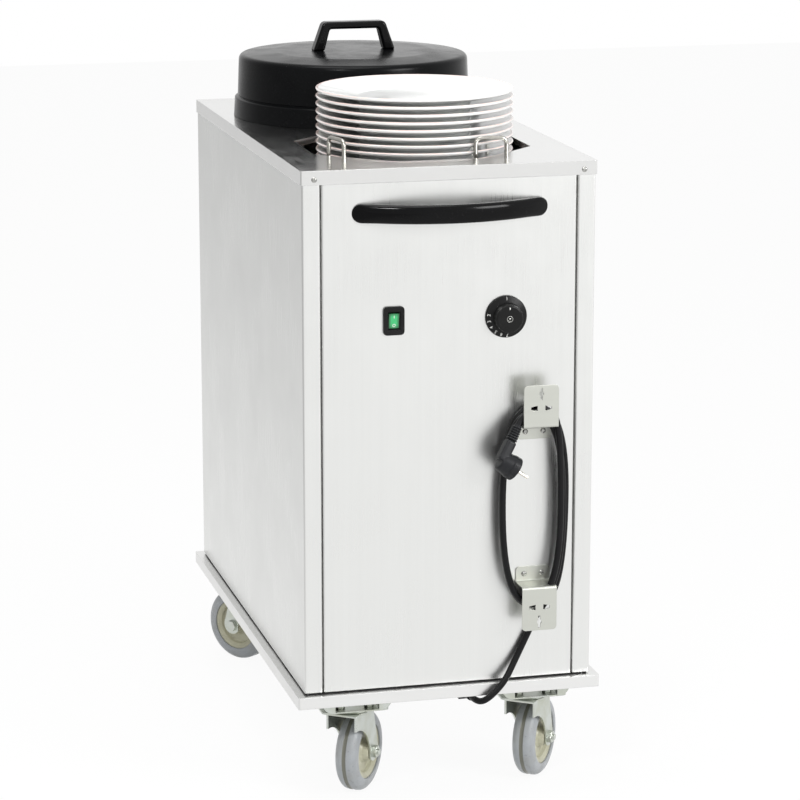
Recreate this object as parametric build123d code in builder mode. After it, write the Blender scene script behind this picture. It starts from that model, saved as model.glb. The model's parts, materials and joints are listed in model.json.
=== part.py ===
from build123d import *
import math
import os

os.makedirs("parts", exist_ok=True)

# Heated plate dispenser on four swivel castors, with two stacks of plates side by side in depth.
# Millimetres, +Z up, front face towards -Y. The origin is on the floor, below the middle of the box.

# cabinet: its width and depth are worked out from the two openings and the worktop round them
worktop_side = 56.0
worktop_end = 61.0
cabinet_height = 795.0
sheet = 1.5
edge_fold = 21.0
panel_fit = 0.2
corner_return = 30.0
seam_gap = 2.0
return_lip = 12.0
panel_flange = 12.0
bend_radius = 2.0

# tray that the cabinet stands on
tray_overhang = 11.0
tray_flange = 18.0
seal_height = 3.0
seal_setback = 4.0
seal_width = 10.0

# castors
wheel_diameter = 125.0
tyre_width = 36.0
tyre_crown = 14.0
tyre_section = 19.0
hub_diameter = 34.0
hub_width = 41.0
axle_diameter = 10.0
axle_clearance = 0.1
castor_head = 25.0
castor_plate = 3.0
castor_plate_x = 104.0
castor_plate_y = 84.0
castor_bolt_x = 45.0
castor_bolt_y = 60.0
swivel_side_inset = 84.0
swivel_inset = 58.0
swivel_trail = 36.0
race_diameter = 62.0
race_height = 14.0
race_gap = 0.4
kingpin_diameter = 12.0
fork_sheet = 3.0
fork_side_gap = 2.0
bracket_width = 72.0
bracket_ear = 18.0
bracket_sheet = 2.0
bracket_length = 100.0
bracket_height = 33.5

# stack openings and the swing guides round them
opening_clearance = 17.5
opening_collar = 10.0
guide_rod = 6.5
guide_rise = 26.0
guide_pivot_margin = 12.5
guide_arm = 48.0
guide_bend = 9.0
guide_fit = 0.3
guide_socket = 10.0
guide_loop_end = 70.0

# lifts
carrier_margin = 25.5
carrier_sheet = 2.0
empty_carrier_drop = 20.0
rail_diameter = 12.0
rail_margin = 23.0
rail_clearance = 0.1
hanger_length = 200.0
hanger_width = 60.0
spring_diameter = 15.0
spring_bore = 9.0
spring_y = 22.0
spring_hook = 10.0
bush_diameter = 24.0
bush_length = 16.0

# plates
plate_diameter = 303.0
plate_pitch = 11.6
plate_count = 10
plate_height = 26.0
plate_foot_diameter = 170.0
plate_wall = 4.2
plate_offset_x = 4.5
top_plate_rise = 88.0

# lid
lid_x = -7.0
lid_skirt_margin = 15.5
lid_plate_gap = 6.5
lid_skirt_height = 35.0
lid_step = 11.0
lid_shoulder = 26.0
lid_height = 109.0
lid_wall = 3.0
lid_clearance = 0.3
lid_handle_base = 137.0
lid_handle_top = 101.0
lid_handle_height = 151.0
lid_handle_bar = 12.0
lid_handle_depth = 24.0

# push handle
handle_length = 300.0
handle_reach = 45.0
handle_bar = 28.0
handle_thickness = 15.0
handle_drop = 65.0
handle_pad = 34.0
handle_round = 7.0
handle_end_trim = 1.0

# switch and thermostat
switch_x = -86.0
switch_drop = 227.0
switch_width = 32.0
switch_height = 43.0
switch_bezel = 3.5
rocker_width = 16.0
rocker_height = 25.0
rocker_gap = 0.4
rocker_swing = 7.0
rocker_depth = 8.0
rocker_pin = 3.0
rocker_pin_length = 2.0
rocker_pin_clearance = 0.1
knob_x = 86.0
knob_drop = 229.0
knob_skirt = 64.0
knob_skirt_height = 5.0
knob_grip = 44.0
knob_height = 23.0
knob_gap = 0.8
knob_shaft = 6.0
thermostat_size = 42.0
thermostat_depth = 34.0

# cord hooks
hook_x = 131.0
hook_width = 54.0
hook_sheet = 2.0
hook_standoff = 39.0
upper_hook_web_z = 402.0
upper_hook_top_z = 466.7
upper_hook_base_z = 376.5
lower_hook_web_z = 154.5
lower_hook_tip_z = 87.5
lower_hook_base_z = 178.0
hook_screw_x = 14.0
screw_head = 8.0
worktop_screw_inset = 20.0
worktop_screw_drop = 13.0

# supply cord and plug
cord_diameter = 10.0
plug_diameter = 38.0
plug_depth = 30.0
pin_diameter = 4.8
pin_length = 19.0
pin_spacing = 19.0
pin_root_diameter = 4.0
pin_root_depth = 8.0
pin_root_show = 0.5

# levels and places worked out from the sizes above
castor_height = wheel_diameter + castor_head
tray_top = castor_height + bracket_height + sheet
worktop_top = tray_top + cabinet_height
opening_flats = plate_diameter + 2 * opening_clearance
guide_pivot_radius = opening_flats / 2 + guide_pivot_margin
lid_skirt_diameter = 2 * (guide_pivot_radius + lid_skirt_margin)
lid_body_diameter = lid_skirt_diameter - 2 * lid_step
stack_spacing = (lid_skirt_diameter + plate_diameter) / 2 + lid_plate_gap
cabinet_width = opening_flats + 2 * worktop_side
cabinet_depth = opening_flats + stack_spacing + 2 * worktop_end
carrier_radius = plate_diameter / 2 - carrier_margin
rail_x = opening_flats / 2 + rail_margin
swivel_x = cabinet_width / 2 - swivel_side_inset
handle_z = cabinet_height - handle_drop
control_z = cabinet_height - switch_drop
knob_z = cabinet_height - knob_drop
rear_left_turn = 39.0
rear_right_turn = 30.0
front_left_turn = -36.0
front_right_turn = -36.0


def wheel_reach(turn):
    """How far a castor stands behind its swivel when it trails at this turn from +Y."""
    angle = math.radians(turn)
    along = (wheel_diameter / 2 - tyre_crown) * math.cos(angle)
    across = (tyre_width / 2 - tyre_crown) * math.sin(angle)
    return swivel_trail * math.cos(angle) + along + across + tyre_crown


rear_reach = max(wheel_reach(rear_left_turn), wheel_reach(rear_right_turn)) - swivel_inset
overall_depth = handle_reach + cabinet_depth + max(rear_reach, tray_overhang)
front_y = handle_reach - overall_depth / 2
rear_y = front_y + cabinet_depth
middle_y = front_y + cabinet_depth / 2
body_x = cabinet_width / 2 - sheet - panel_fit
panel_front_y = front_y + sheet + panel_fit
panel_rear_y = rear_y - sheet - panel_fit
seam_x = cabinet_width / 2 - corner_return
panel_bottom = tray_top + seal_height
panel_top = worktop_top - sheet
stack_y = [middle_y - stack_spacing / 2, middle_y + stack_spacing / 2]
stack_names = ["front", "rear"]


# base tray with its turned-down edge and the sockets of the swing guides
guide_pivot_angles = [-53.0, 47.0, 127.0, 222.0]
guide_arm_angles = [180.0, -72.0, 0.0, 105.0]
guide_pivot_insets = [0.0, 2.0, 0.0, 0.0]


def guide_pivot(stack, index):
    """Place of a swing guide's pivot leg."""
    angle = math.radians(guide_pivot_angles[index])
    radius = guide_pivot_radius - guide_pivot_insets[index]
    return (radius * math.cos(angle), stack_y[stack] + radius * math.sin(angle))


pivot_places = [guide_pivot(stack, index) for stack in range(2) for index in range(4)]
tray_x = cabinet_width + 2 * tray_overhang
tray_y = cabinet_depth + 2 * tray_overhang

with BuildPart() as base_tray:
    with BuildSketch(Plane.XY.offset(tray_top - tray_flange)):
        with Locations((0, middle_y)):
            RectangleRounded(tray_x, tray_y, 3)
    extrude(amount=tray_flange)
    with BuildSketch(Plane.XY.offset(tray_top - tray_flange)):
        with Locations((0, middle_y)):
            Rectangle(tray_x - 2 * sheet, tray_y - 2 * sheet)
    extrude(amount=tray_flange - sheet, mode=Mode.SUBTRACT)
    with BuildSketch(Plane.XY.offset(tray_top)):
        with Locations(*pivot_places):
            Circle(guide_rod / 2 + 4)
    extrude(amount=guide_socket)
    with BuildSketch(Plane.XY.offset(tray_top + 1)):
        with Locations(*pivot_places):
            Circle(guide_rod / 2 + guide_fit)
    extrude(amount=guide_socket, mode=Mode.SUBTRACT)
base_tray.part.label = "base_tray"
export_step(base_tray.part, "parts/base_tray.step")

# black sealing frame between the tray and the cabinet
with BuildPart() as base_seal:
    with BuildSketch(Plane.XY.offset(tray_top)):
        with Locations((0, middle_y)):
            Rectangle(2 * (body_x - seal_setback), cabinet_depth - 2 * seal_setback)
            Rectangle(
                2 * (body_x - seal_setback - seal_width),
                cabinet_depth - 2 * (seal_setback + seal_width),
                mode=Mode.SUBTRACT,
            )
    extrude(amount=seal_height)
base_seal.part.label = "base_seal"
export_step(base_seal.part, "parts/base_seal.step")

# side panels, each folded round the front and the rear corner
half = sheet / 2
lip_y = panel_flange + half + 0.3
for side, name in ((-1, "left_panel"), (1, "right_panel")):
    with BuildPart() as side_panel:
        with BuildSketch(Plane.XY.offset(panel_bottom)):
            with BuildLine():
                FilletPolyline(
                    (side * (seam_x - return_lip), panel_front_y + lip_y + half),
                    (side * (seam_x + seam_gap / 2 + half), panel_front_y + lip_y + half),
                    (side * (seam_x + seam_gap / 2 + half), panel_front_y + half),
                    (side * (body_x - half), panel_front_y + half),
                    (side * (body_x - half), panel_rear_y - half),
                    (side * (seam_x + seam_gap / 2 + half), panel_rear_y - half),
                    (side * (seam_x + seam_gap / 2 + half), panel_rear_y - lip_y - half),
                    (side * (seam_x - return_lip), panel_rear_y - lip_y - half),
                    radius=bend_radius,
                )
            trace(line_width=sheet)
        extrude(amount=panel_top - panel_bottom)
    side_panel.part.label = name
    export_step(side_panel.part, "parts/" + name + ".step")

# front panel with the holes of the controls, and the plain rear panel
panel_edge_x = seam_x - seam_gap / 2 - half
switch_hole_x = 27.0
switch_hole_z = 37.0
with BuildPart() as front_panel:
    with BuildSketch(Plane.XY.offset(panel_bottom)):
        with BuildLine():
            FilletPolyline(
                (-panel_edge_x, panel_front_y + panel_flange),
                (-panel_edge_x, panel_front_y + half),
                (panel_edge_x, panel_front_y + half),
                (panel_edge_x, panel_front_y + panel_flange),
                radius=bend_radius,
            )
        trace(line_width=sheet)
    extrude(amount=panel_top - panel_bottom)
    front_face = Plane(origin=(0, panel_front_y - 1, tray_top), x_dir=(1, 0, 0), z_dir=(0, -1, 0))
    with BuildSketch(front_face):
        with Locations((switch_x, control_z)):
            Rectangle(switch_hole_x, switch_hole_z)
        with Locations((knob_x, knob_z)):
            Circle(knob_shaft / 2 + 1)
    extrude(amount=-4, mode=Mode.SUBTRACT)
front_panel.part.label = "front_panel"
export_step(front_panel.part, "parts/front_panel.step")

with BuildPart() as rear_panel:
    with BuildSketch(Plane.XY.offset(panel_bottom)):
        with BuildLine():
            FilletPolyline(
                (-panel_edge_x, panel_rear_y - panel_flange),
                (-panel_edge_x, panel_rear_y - half),
                (panel_edge_x, panel_rear_y - half),
                (panel_edge_x, panel_rear_y - panel_flange),
                radius=bend_radius,
            )
        trace(line_width=sheet)
    extrude(amount=panel_top - panel_bottom)
rear_panel.part.label = "rear_panel"
export_step(rear_panel.part, "parts/rear_panel.step")

# worktop cap with two eight-sided openings, their collars and the pivot holes
with BuildPart() as worktop:
    with BuildSketch(Plane.XY.offset(worktop_top - edge_fold)):
        with Locations((0, middle_y)):
            RectangleRounded(cabinet_width, cabinet_depth, bend_radius)
    extrude(amount=edge_fold)
    with BuildSketch(Plane.XY.offset(worktop_top - edge_fold)):
        with Locations((0, middle_y)):
            Rectangle(cabinet_width - 2 * sheet, cabinet_depth - 2 * sheet)
    extrude(amount=edge_fold - sheet, mode=Mode.SUBTRACT)
    with BuildSketch(Plane.XY.offset(worktop_top - opening_collar)):
        with Locations(*[(0, y) for y in stack_y]):
            RegularPolygon(opening_flats / 2 + sheet, 8, major_radius=False, rotation=22.5)
    extrude(amount=opening_collar)
    with BuildSketch(Plane.XY.offset(worktop_top - opening_collar)):
        with Locations(*[(0, y) for y in stack_y]):
            RegularPolygon(opening_flats / 2, 8, major_radius=False, rotation=22.5)
    extrude(amount=opening_collar, mode=Mode.SUBTRACT)
    with BuildSketch(Plane.XY.offset(worktop_top - opening_collar)):
        with Locations(*pivot_places):
            Circle(guide_rod / 2 + guide_fit)
    extrude(amount=opening_collar, mode=Mode.SUBTRACT)
worktop.part.label = "worktop"
export_step(worktop.part, "parts/worktop.step")

# pan-head screws that hold the worktop's front and rear folds
worktop_screw_x = cabinet_width / 2 - worktop_screw_inset
screw_places = [(x, worktop_top - worktop_screw_drop) for x in (-worktop_screw_x, worktop_screw_x)]
with BuildPart() as worktop_screws:
    for face_y, out in ((front_y, -1), (rear_y, 1)):
        screw_face = Plane(origin=(0, face_y, 0), x_dir=(-out, 0, 0), z_dir=(0, out, 0))
        with BuildSketch(screw_face):
            with Locations(*[(-out * x, z) for x, z in screw_places]):
                Circle(screw_head / 2)
        extrude(amount=2.2)
        with BuildSketch(screw_face.offset(2.2)):
            with Locations(*[(-out * x, z) for x, z in screw_places]):
                Circle(screw_head / 2 - 1.4)
        extrude(amount=0.6)
worktop_screws.part.label = "worktop_screws"
export_step(worktop_screws.part, "parts/worktop_screws.step")

# castor brackets below the tray: a channel open to the front, with an ear on each side
bracket_top = tray_top - sheet
castor_signs = [(-1, -1), (1, -1), (-1, 1), (1, 1)]
castor_names = ["front_left", "front_right", "rear_left", "rear_right"]
castor_turns = [front_left_turn, front_right_turn, rear_left_turn, -rear_right_turn]


def castor_place(index):
    """Swivel axis of a castor."""
    x_sign, y_sign = castor_signs[index]
    return (x_sign * swivel_x, middle_y + y_sign * (cabinet_depth / 2 - swivel_inset))


with BuildPart() as castor_brackets:
    for index in range(4):
        x, y = castor_place(index)
        out = castor_signs[index][1]
        mouth_y = y + out * bracket_length / 2
        bracket_mouth = Plane(origin=(x, mouth_y, castor_height), x_dir=(-out, 0, 0), z_dir=(0, out, 0))
        with BuildSketch(bracket_mouth):
            with BuildLine():
                FilletPolyline(
                    (-bracket_width / 2 + bracket_sheet / 2, bracket_top - castor_height),
                    (-bracket_width / 2 + bracket_sheet / 2, bracket_sheet / 2),
                    (bracket_width / 2 - bracket_sheet / 2, bracket_sheet / 2),
                    (bracket_width / 2 - bracket_sheet / 2, bracket_top - castor_height),
                    radius=bend_radius,
                )
            trace(line_width=bracket_sheet)
        extrude(amount=-bracket_length)
        with BuildSketch(bracket_mouth):
            with BuildLine():
                FilletPolyline(
                    (-bracket_width / 2 - bracket_ear, bracket_top - castor_height),
                    (-bracket_width / 2 - bracket_ear, 0),
                    (bracket_width / 2 + bracket_ear, 0),
                    (bracket_width / 2 + bracket_ear, bracket_top - castor_height),
                    radius=bracket_ear,
                )
                Line(
                    (-bracket_width / 2 - bracket_ear, bracket_top - castor_height),
                    (bracket_width / 2 + bracket_ear, bracket_top - castor_height),
                )
            make_face()
            with Locations((0, (bracket_top - castor_height) / 2)):
                Rectangle(bracket_width - bracket_sheet, bracket_top - castor_height, mode=Mode.SUBTRACT)
        extrude(amount=-bracket_sheet)
castor_brackets.part.label = "castor_brackets"
export_step(castor_brackets.part, "parts/castor_brackets.step")

# castor top plates with the fixed upper race and the kingpin, and their bolts
plate_bottom = castor_height - castor_plate
race_bottom = plate_bottom - race_height
crown_top = plate_bottom - race_height / 2 - race_gap
with BuildPart() as castor_plates:
    for index in range(4):
        with BuildSketch(Plane.XY.offset(plate_bottom)):
            with Locations(castor_place(index)):
                RectangleRounded(castor_plate_x, castor_plate_y, 8)
        extrude(amount=castor_plate)
        with BuildSketch(Plane.XY.offset(plate_bottom)):
            with Locations(castor_place(index)):
                Circle(race_diameter / 2)
        extrude(amount=-race_height / 2, taper=12)
        with BuildSketch(Plane.XY.offset(plate_bottom)):
            with Locations(castor_place(index)):
                Circle(kingpin_diameter / 2)
        extrude(amount=-race_height - 2)
castor_plates.part.label = "castor_plates"
export_step(castor_plates.part, "parts/castor_plates.step")

with BuildPart() as castor_bolts:
    for index in range(4):
        with BuildSketch(Plane.XY.offset(castor_height + bracket_sheet)):
            with Locations(castor_place(index)):
                with GridLocations(castor_bolt_x, castor_bolt_y, 2, 2):
                    RegularPolygon(6.5, 6, major_radius=False)
        extrude(amount=5.5)
castor_bolts.part.label = "castor_bolts"
export_step(castor_bolts.part, "parts/castor_bolts.step")

# castor forks: lower race, crown and two swept-back legs, on the swivel axis
axle_z = wheel_diameter / 2
fork_inner = hub_width / 2 + fork_side_gap / 2
fork_outer = fork_inner + fork_sheet
hub_gap = (fork_inner * 2 - hub_width) / 2


def castor_frame(index):
    """Plane of a castor: local x is the trailing direction, local z is up."""
    x, y = castor_place(index)
    angle = math.radians(90 + castor_turns[index])
    return Plane(origin=(x, y, 0), x_dir=(math.cos(angle), math.sin(angle), 0), z_dir=(0, 0, 1))


for index, name in enumerate(castor_names):
    frame = castor_frame(index)
    side_view = Plane(origin=frame.origin, x_dir=frame.x_dir, z_dir=-frame.y_dir)
    leg_top = crown_top - fork_sheet
    with BuildPart() as fork:
        with BuildSketch(side_view):
            with BuildLine():
                Line((-34, leg_top + fork_sheet), (34, leg_top + fork_sheet))
                Line((34, leg_top + fork_sheet), (swivel_trail + 16, axle_z + 10))
                ThreePointArc(
                    (swivel_trail + 16, axle_z + 10),
                    (swivel_trail + 8, axle_z - 14),
                    (swivel_trail - 12, axle_z - 8),
                )
                ThreePointArc(
                    (swivel_trail - 12, axle_z - 8),
                    (swivel_trail - 24, axle_z + 30),
                    (-34, leg_top - 22),
                )
                Line((-34, leg_top - 22), (-34, leg_top + fork_sheet))
            make_face()
        extrude(amount=fork_outer, both=True)
        with BuildSketch(side_view):
            with Locations((0, (leg_top - 60) / 2 + 30)):
                Rectangle(200, leg_top - 60 + 60)
        extrude(amount=fork_inner, both=True, mode=Mode.SUBTRACT)
        with BuildSketch(Plane(origin=(frame.origin.X, frame.origin.Y, crown_top), z_dir=(0, 0, 1))):
            Circle(race_diameter / 2 - 1)
        extrude(amount=-fork_sheet)
        with BuildSketch(Plane(origin=(frame.origin.X, frame.origin.Y, crown_top), z_dir=(0, 0, 1))):
            Circle(kingpin_diameter / 2 + race_gap)
        extrude(amount=-fork_sheet, mode=Mode.SUBTRACT)
        with BuildSketch(side_view):
            with Locations((swivel_trail, axle_z)):
                Circle(axle_diameter / 2)
        extrude(amount=fork_outer, both=True, mode=Mode.SUBTRACT)
    fork.part.label = name + "_fork"
    export_step(fork.part, "parts/" + name + "_fork.step")

    with BuildPart() as axle:
        with BuildSketch(side_view):
            with Locations((swivel_trail, axle_z)):
                Circle(axle_diameter / 2)
        extrude(amount=fork_outer + 1, both=True)
        with BuildSketch(side_view.offset(fork_outer)):
            with Locations((swivel_trail, axle_z)):
                RegularPolygon(8.5, 6, major_radius=False)
        extrude(amount=6.5)
        with BuildSketch(side_view.offset(fork_outer)):
            with Locations((swivel_trail, axle_z)):
                Circle(axle_diameter / 2 - 0.5)
        extrude(amount=10)
        with BuildSketch(side_view.offset(-fork_outer)):
            with Locations((swivel_trail, axle_z)):
                RegularPolygon(8.5, 6, major_radius=False)
        extrude(amount=-6)
    axle.part.label = name + "_axle"
    export_step(axle.part, "parts/" + name + "_axle.step")

    axle_point = frame.origin + frame.x_dir * swivel_trail + Vector(0, 0, axle_z)
    wheel_plane = Plane(origin=axle_point, x_dir=Vector(0, 0, 1), z_dir=-frame.x_dir)
    spin_axis = Axis(axle_point, frame.y_dir)
    tyre_bore = wheel_diameter / 2 - tyre_section
    with BuildPart() as core:
        with BuildSketch(wheel_plane):
            with BuildLine():
                Polyline(
                    (axle_diameter / 2 + axle_clearance, -hub_width / 2),
                    (hub_diameter / 2 - 3, -hub_width / 2),
                    (hub_diameter / 2, -hub_width / 2 + 9),
                    (tyre_bore - 9, -7),
                    (tyre_bore - 3, -tyre_width / 2 + 3),
                    (tyre_bore, -tyre_width / 2 + 3),
                    (tyre_bore, tyre_width / 2 - 3),
                    (tyre_bore - 3, tyre_width / 2 - 3),
                    (tyre_bore - 9, 7),
                    (hub_diameter / 2, hub_width / 2 - 9),
                    (hub_diameter / 2 - 3, hub_width / 2),
                    (axle_diameter / 2 + axle_clearance, hub_width / 2),
                    close=True,
                )
            make_face()
        revolve(axis=spin_axis)
    core.part.label = name + "_wheel_core"
    export_step(core.part, "parts/" + name + "_wheel_core.step")

    with BuildPart() as tyre:
        with BuildSketch(wheel_plane):
            with BuildLine():
                FilletPolyline(
                    (tyre_bore, -tyre_width / 2),
                    (wheel_diameter / 2, -tyre_width / 2),
                    (wheel_diameter / 2, tyre_width / 2),
                    (tyre_bore, tyre_width / 2),
                    radius=tyre_crown,
                )
                Line((tyre_bore, -tyre_width / 2), (tyre_bore, tyre_width / 2))
            make_face()
        revolve(axis=spin_axis)
    tyre.part.label = name + "_tyre"
    export_step(tyre.part, "parts/" + name + "_tyre.step")

# swing guides: rod loops that stand in the worktop and the tray and reach down beside the plates
guide_top = worktop_top + guide_rise
for stack in range(2):
    for index in range(4):
        name = stack_names[stack] + "_guide_" + str(index + 1)
        px, py = guide_pivot(stack, index)
        arm = math.radians(guide_arm_angles[index])
        cx = px + guide_arm * math.cos(arm)
        cy = py + guide_arm * math.sin(arm)
        loop_bottom = tray_top + guide_loop_end
        with BuildPart() as guide:
            with BuildLine() as guide_path:
                FilletPolyline(
                    (px, py, tray_top + 1.5),
                    (px, py, guide_top),
                    (cx, cy, guide_top),
                    (cx, cy, loop_bottom - guide_rod / 2),
                    radius=guide_bend,
                )
            with BuildSketch(Plane(origin=guide_path.line @ 0, z_dir=(0, 0, 1))):
                Circle(guide_rod / 2)
            sweep(path=guide_path.line)
            with BuildSketch(Plane(origin=(px, py, loop_bottom), z_dir=(math.cos(arm), math.sin(arm), 0))):
                Circle(guide_rod / 2 - 0.5)
            extrude(amount=guide_arm)
        guide.part.label = name
        export_step(guide.part, "parts/" + name + ".step")

# lift frames: a top bar below the worktop, two rails down to the tray and the spring hangers
frame_top = worktop_top - sheet
bar_height = 5.0
bar_length = 84.0
bar_width = 34.0
bar_x = rail_x + 4
spring_x = rail_x + rail_diameter / 2 + spring_diameter / 2 + 1.5
for stack in range(2):
    with BuildPart() as lift_frame:
        for x_sign in (-1, 1):
            with BuildSketch(Plane.XY.offset(tray_top)):
                with Locations((x_sign * rail_x, stack_y[stack])):
                    Circle(rail_diameter / 2)
            extrude(amount=frame_top - tray_top)
            with BuildSketch(Plane.XY.offset(frame_top - bar_height)):
                with Locations((x_sign * (bar_x + 3), stack_y[stack])):
                    Rectangle(bar_width, bar_length)
            extrude(amount=bar_height)
            with BuildSketch(Plane.XY.offset(tray_top)):
                with Locations((x_sign * rail_x, stack_y[stack])):
                    Circle(rail_diameter / 2 + 7)
            extrude(amount=6)
    lift_frame.part.label = stack_names[stack] + "_lift_frame"
    export_step(lift_frame.part, "parts/" + stack_names[stack] + "_lift_frame.step")

# carriers: a round platform between two hangers that slide on the rails
front_carrier_top = worktop_top + top_plate_rise - (plate_count - 1) * plate_pitch - plate_height
carrier_tops = [front_carrier_top, worktop_top - empty_carrier_drop]
hanger_x = rail_x - bush_diameter / 2 - 3
for stack in range(2):
    top = carrier_tops[stack]
    with BuildPart() as carrier:
        with BuildSketch(Plane.XY.offset(top - carrier_sheet)):
            with Locations((0, stack_y[stack])):
                Circle(carrier_radius)
                Rectangle(2 * hanger_x, hanger_width)
        extrude(amount=carrier_sheet)
        with BuildSketch(Plane.XY.offset(top - 14)):
            with Locations((0, stack_y[stack])):
                Circle(carrier_radius)
                Circle(carrier_radius - carrier_sheet, mode=Mode.SUBTRACT)
        extrude(amount=14)
        for x_sign in (-1, 1):
            with BuildSketch(Plane.XY.offset(top - hanger_length)):
                with Locations((x_sign * (hanger_x + carrier_sheet / 2), stack_y[stack])):
                    Rectangle(carrier_sheet, hanger_width)
            extrude(amount=hanger_length)
            for z in (top - bush_length, top - hanger_length):
                with BuildSketch(Plane.XY.offset(z)):
                    with Locations((x_sign * rail_x, stack_y[stack])):
                        Circle(bush_diameter / 2)
                    with Locations((x_sign * (hanger_x + (rail_x - hanger_x) / 2), stack_y[stack])):
                        Rectangle(rail_x - hanger_x, 14)
                extrude(amount=bush_length)
            with BuildSketch(Plane.XY.offset(top - hanger_length)):
                with Locations((x_sign * (hanger_x + (spring_x - hanger_x + 5) / 2), stack_y[stack])):
                    Rectangle(spring_x - hanger_x + 5, hanger_width)
            extrude(amount=carrier_sheet)
            with BuildSketch(Plane.XY.offset(top - hanger_length)):
                with Locations((x_sign * rail_x, stack_y[stack])):
                    Circle(rail_diameter / 2 + rail_clearance)
            extrude(amount=hanger_length, mode=Mode.SUBTRACT)
    carrier.part.label = stack_names[stack] + "_carrier"
    export_step(carrier.part, "parts/" + stack_names[stack] + "_carrier.step")

# extension springs, four to each lift, from the top bars down to the ears of the carrier
for stack in range(2):
    spring_top = frame_top - bar_height - 0.3
    spring_bottom = carrier_tops[stack] - hanger_length + carrier_sheet + 0.3
    with BuildPart() as springs:
        for x_sign in (-1, 1):
            for y_sign in (-1, 1):
                place = (x_sign * spring_x, stack_y[stack] + y_sign * spring_y)
                with BuildSketch(Plane.XY.offset(spring_bottom + spring_hook)):
                    with Locations(place):
                        Circle(spring_diameter / 2)
                        Circle(spring_bore / 2, mode=Mode.SUBTRACT)
                extrude(amount=spring_top - spring_bottom - 2 * spring_hook)
                for start in (spring_bottom, spring_top - spring_hook):
                    with BuildSketch(Plane.XY.offset(start)):
                        with Locations(place):
                            Rectangle(2, spring_diameter - 3)
                    extrude(amount=spring_hook)
    springs.part.label = stack_names[stack] + "_lift_springs"
    export_step(springs.part, "parts/" + stack_names[stack] + "_lift_springs.step")

# tubular heating elements on the tray, one loop below each stack
heater_rod = 8.5
heater_x = 100.0
heater_y = 90.0
heater_leg = 60.0
heater_z = tray_top + 60
with BuildPart() as heating_elements:
    for y in stack_y:
        with BuildLine() as heater_path:
            FilletPolyline(
                (-heater_leg, y - heater_leg, tray_top + 0.3),
                (-heater_leg, y - heater_leg, heater_z),
                (-heater_leg, y + heater_y, heater_z),
                (-heater_x, y + heater_y, heater_z),
                (-heater_x, y - heater_y, heater_z),
                (heater_x, y - heater_y, heater_z),
                (heater_x, y + heater_y, heater_z),
                (heater_leg, y + heater_y, heater_z),
                (heater_leg, y - heater_leg, heater_z),
                (heater_leg, y - heater_leg, tray_top + 0.3),
                radius=15,
            )
        with BuildSketch(Plane(origin=heater_path.line @ 0, z_dir=(0, 0, 1))):
            Circle(heater_rod / 2)
        sweep(path=heater_path.line)
heating_elements.part.label = "heating_elements"
export_step(heating_elements.part, "parts/heating_elements.step")

# stacked plates, each a coupe shape with a foot ring
foot_rise = plate_pitch - plate_wall
plate_stack = []
for count in range(plate_count):
    base = front_carrier_top + count * plate_pitch
    with BuildPart() as plate:
        with BuildSketch(Plane.XZ.offset(-stack_y[0])):
            with BuildLine():
                Polyline(
                    (plate_offset_x, base + foot_rise),
                    (plate_offset_x + plate_foot_diameter / 2 - 6, base + foot_rise),
                    (plate_offset_x + plate_foot_diameter / 2 - 5, base),
                    (plate_offset_x + plate_foot_diameter / 2, base),
                    (plate_offset_x + plate_foot_diameter / 2 + 4, base + foot_rise),
                    (plate_offset_x + plate_diameter / 2 - 2, base + plate_height - 4.5),
                    (plate_offset_x + plate_diameter / 2, base + plate_height - 1.6),
                    (plate_offset_x + plate_diameter / 2 - 1.5, base + plate_height),
                    (plate_offset_x + plate_diameter / 2 - 6, base + plate_height - 1),
                    (plate_offset_x + plate_foot_diameter / 2 + 2, base + plate_pitch),
                    (plate_offset_x, base + plate_pitch),
                    close=True,
                )
            make_face()
        revolve(axis=Axis((plate_offset_x, stack_y[0], 0), (0, 0, 1)))
    plate_stack.append(plate.part)
plates = Compound(children=plate_stack)
plates.label = "plates"
export_step(plates, "parts/plates.step")

# lid over the rear opening, a hollow shell with a stepped skirt
lid_base = worktop_top + lid_clearance
lid_plane = Plane(origin=(lid_x, stack_y[1], lid_base), x_dir=(1, 0, 0), z_dir=(0, -1, 0))
skirt_r = lid_skirt_diameter / 2
body_r = lid_body_diameter / 2
with BuildPart() as lid:
    with BuildSketch(lid_plane):
        with BuildLine():
            Line((0, lid_height), (body_r - 60, lid_height - 1))
            Line((body_r - 60, lid_height - 1), (body_r - lid_shoulder, lid_height - 4))
            ThreePointArc(
                (body_r - lid_shoulder, lid_height - 4),
                (body_r - lid_shoulder * 0.25, lid_height - 4 - lid_shoulder * 0.35),
                (body_r - 3, lid_height - 4 - lid_shoulder),
            )
            Line((body_r - 3, lid_height - 4 - lid_shoulder), (body_r, lid_skirt_height + 2))
            Line((body_r, lid_skirt_height + 2), (skirt_r - 2, lid_skirt_height - 1))
            Line((skirt_r - 2, lid_skirt_height - 1), (skirt_r, 0))
            Line((skirt_r, 0), (skirt_r - lid_wall, 0))
            Line((skirt_r - lid_wall, 0), (skirt_r - 2 - lid_wall, lid_skirt_height - 1 - lid_wall))
            Line((skirt_r - 2 - lid_wall, lid_skirt_height - 1 - lid_wall), (body_r - lid_wall, lid_skirt_height - 2))
            Line((body_r - lid_wall, lid_skirt_height - 2), (body_r - 3 - lid_wall, lid_height - 5 - lid_shoulder))
            Line((body_r - 3 - lid_wall, lid_height - 5 - lid_shoulder), (body_r - lid_shoulder - 2, lid_height - 4 - lid_wall))
            Line((body_r - lid_shoulder - 2, lid_height - 4 - lid_wall), (0, lid_height - lid_wall))
            Line((0, lid_height - lid_wall), (0, lid_height))
        make_face()
    revolve(axis=Axis((lid_x, stack_y[1], 0), (0, 0, 1)))
lid.part.label = "lid"
export_step(lid.part, "parts/lid.step")

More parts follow.
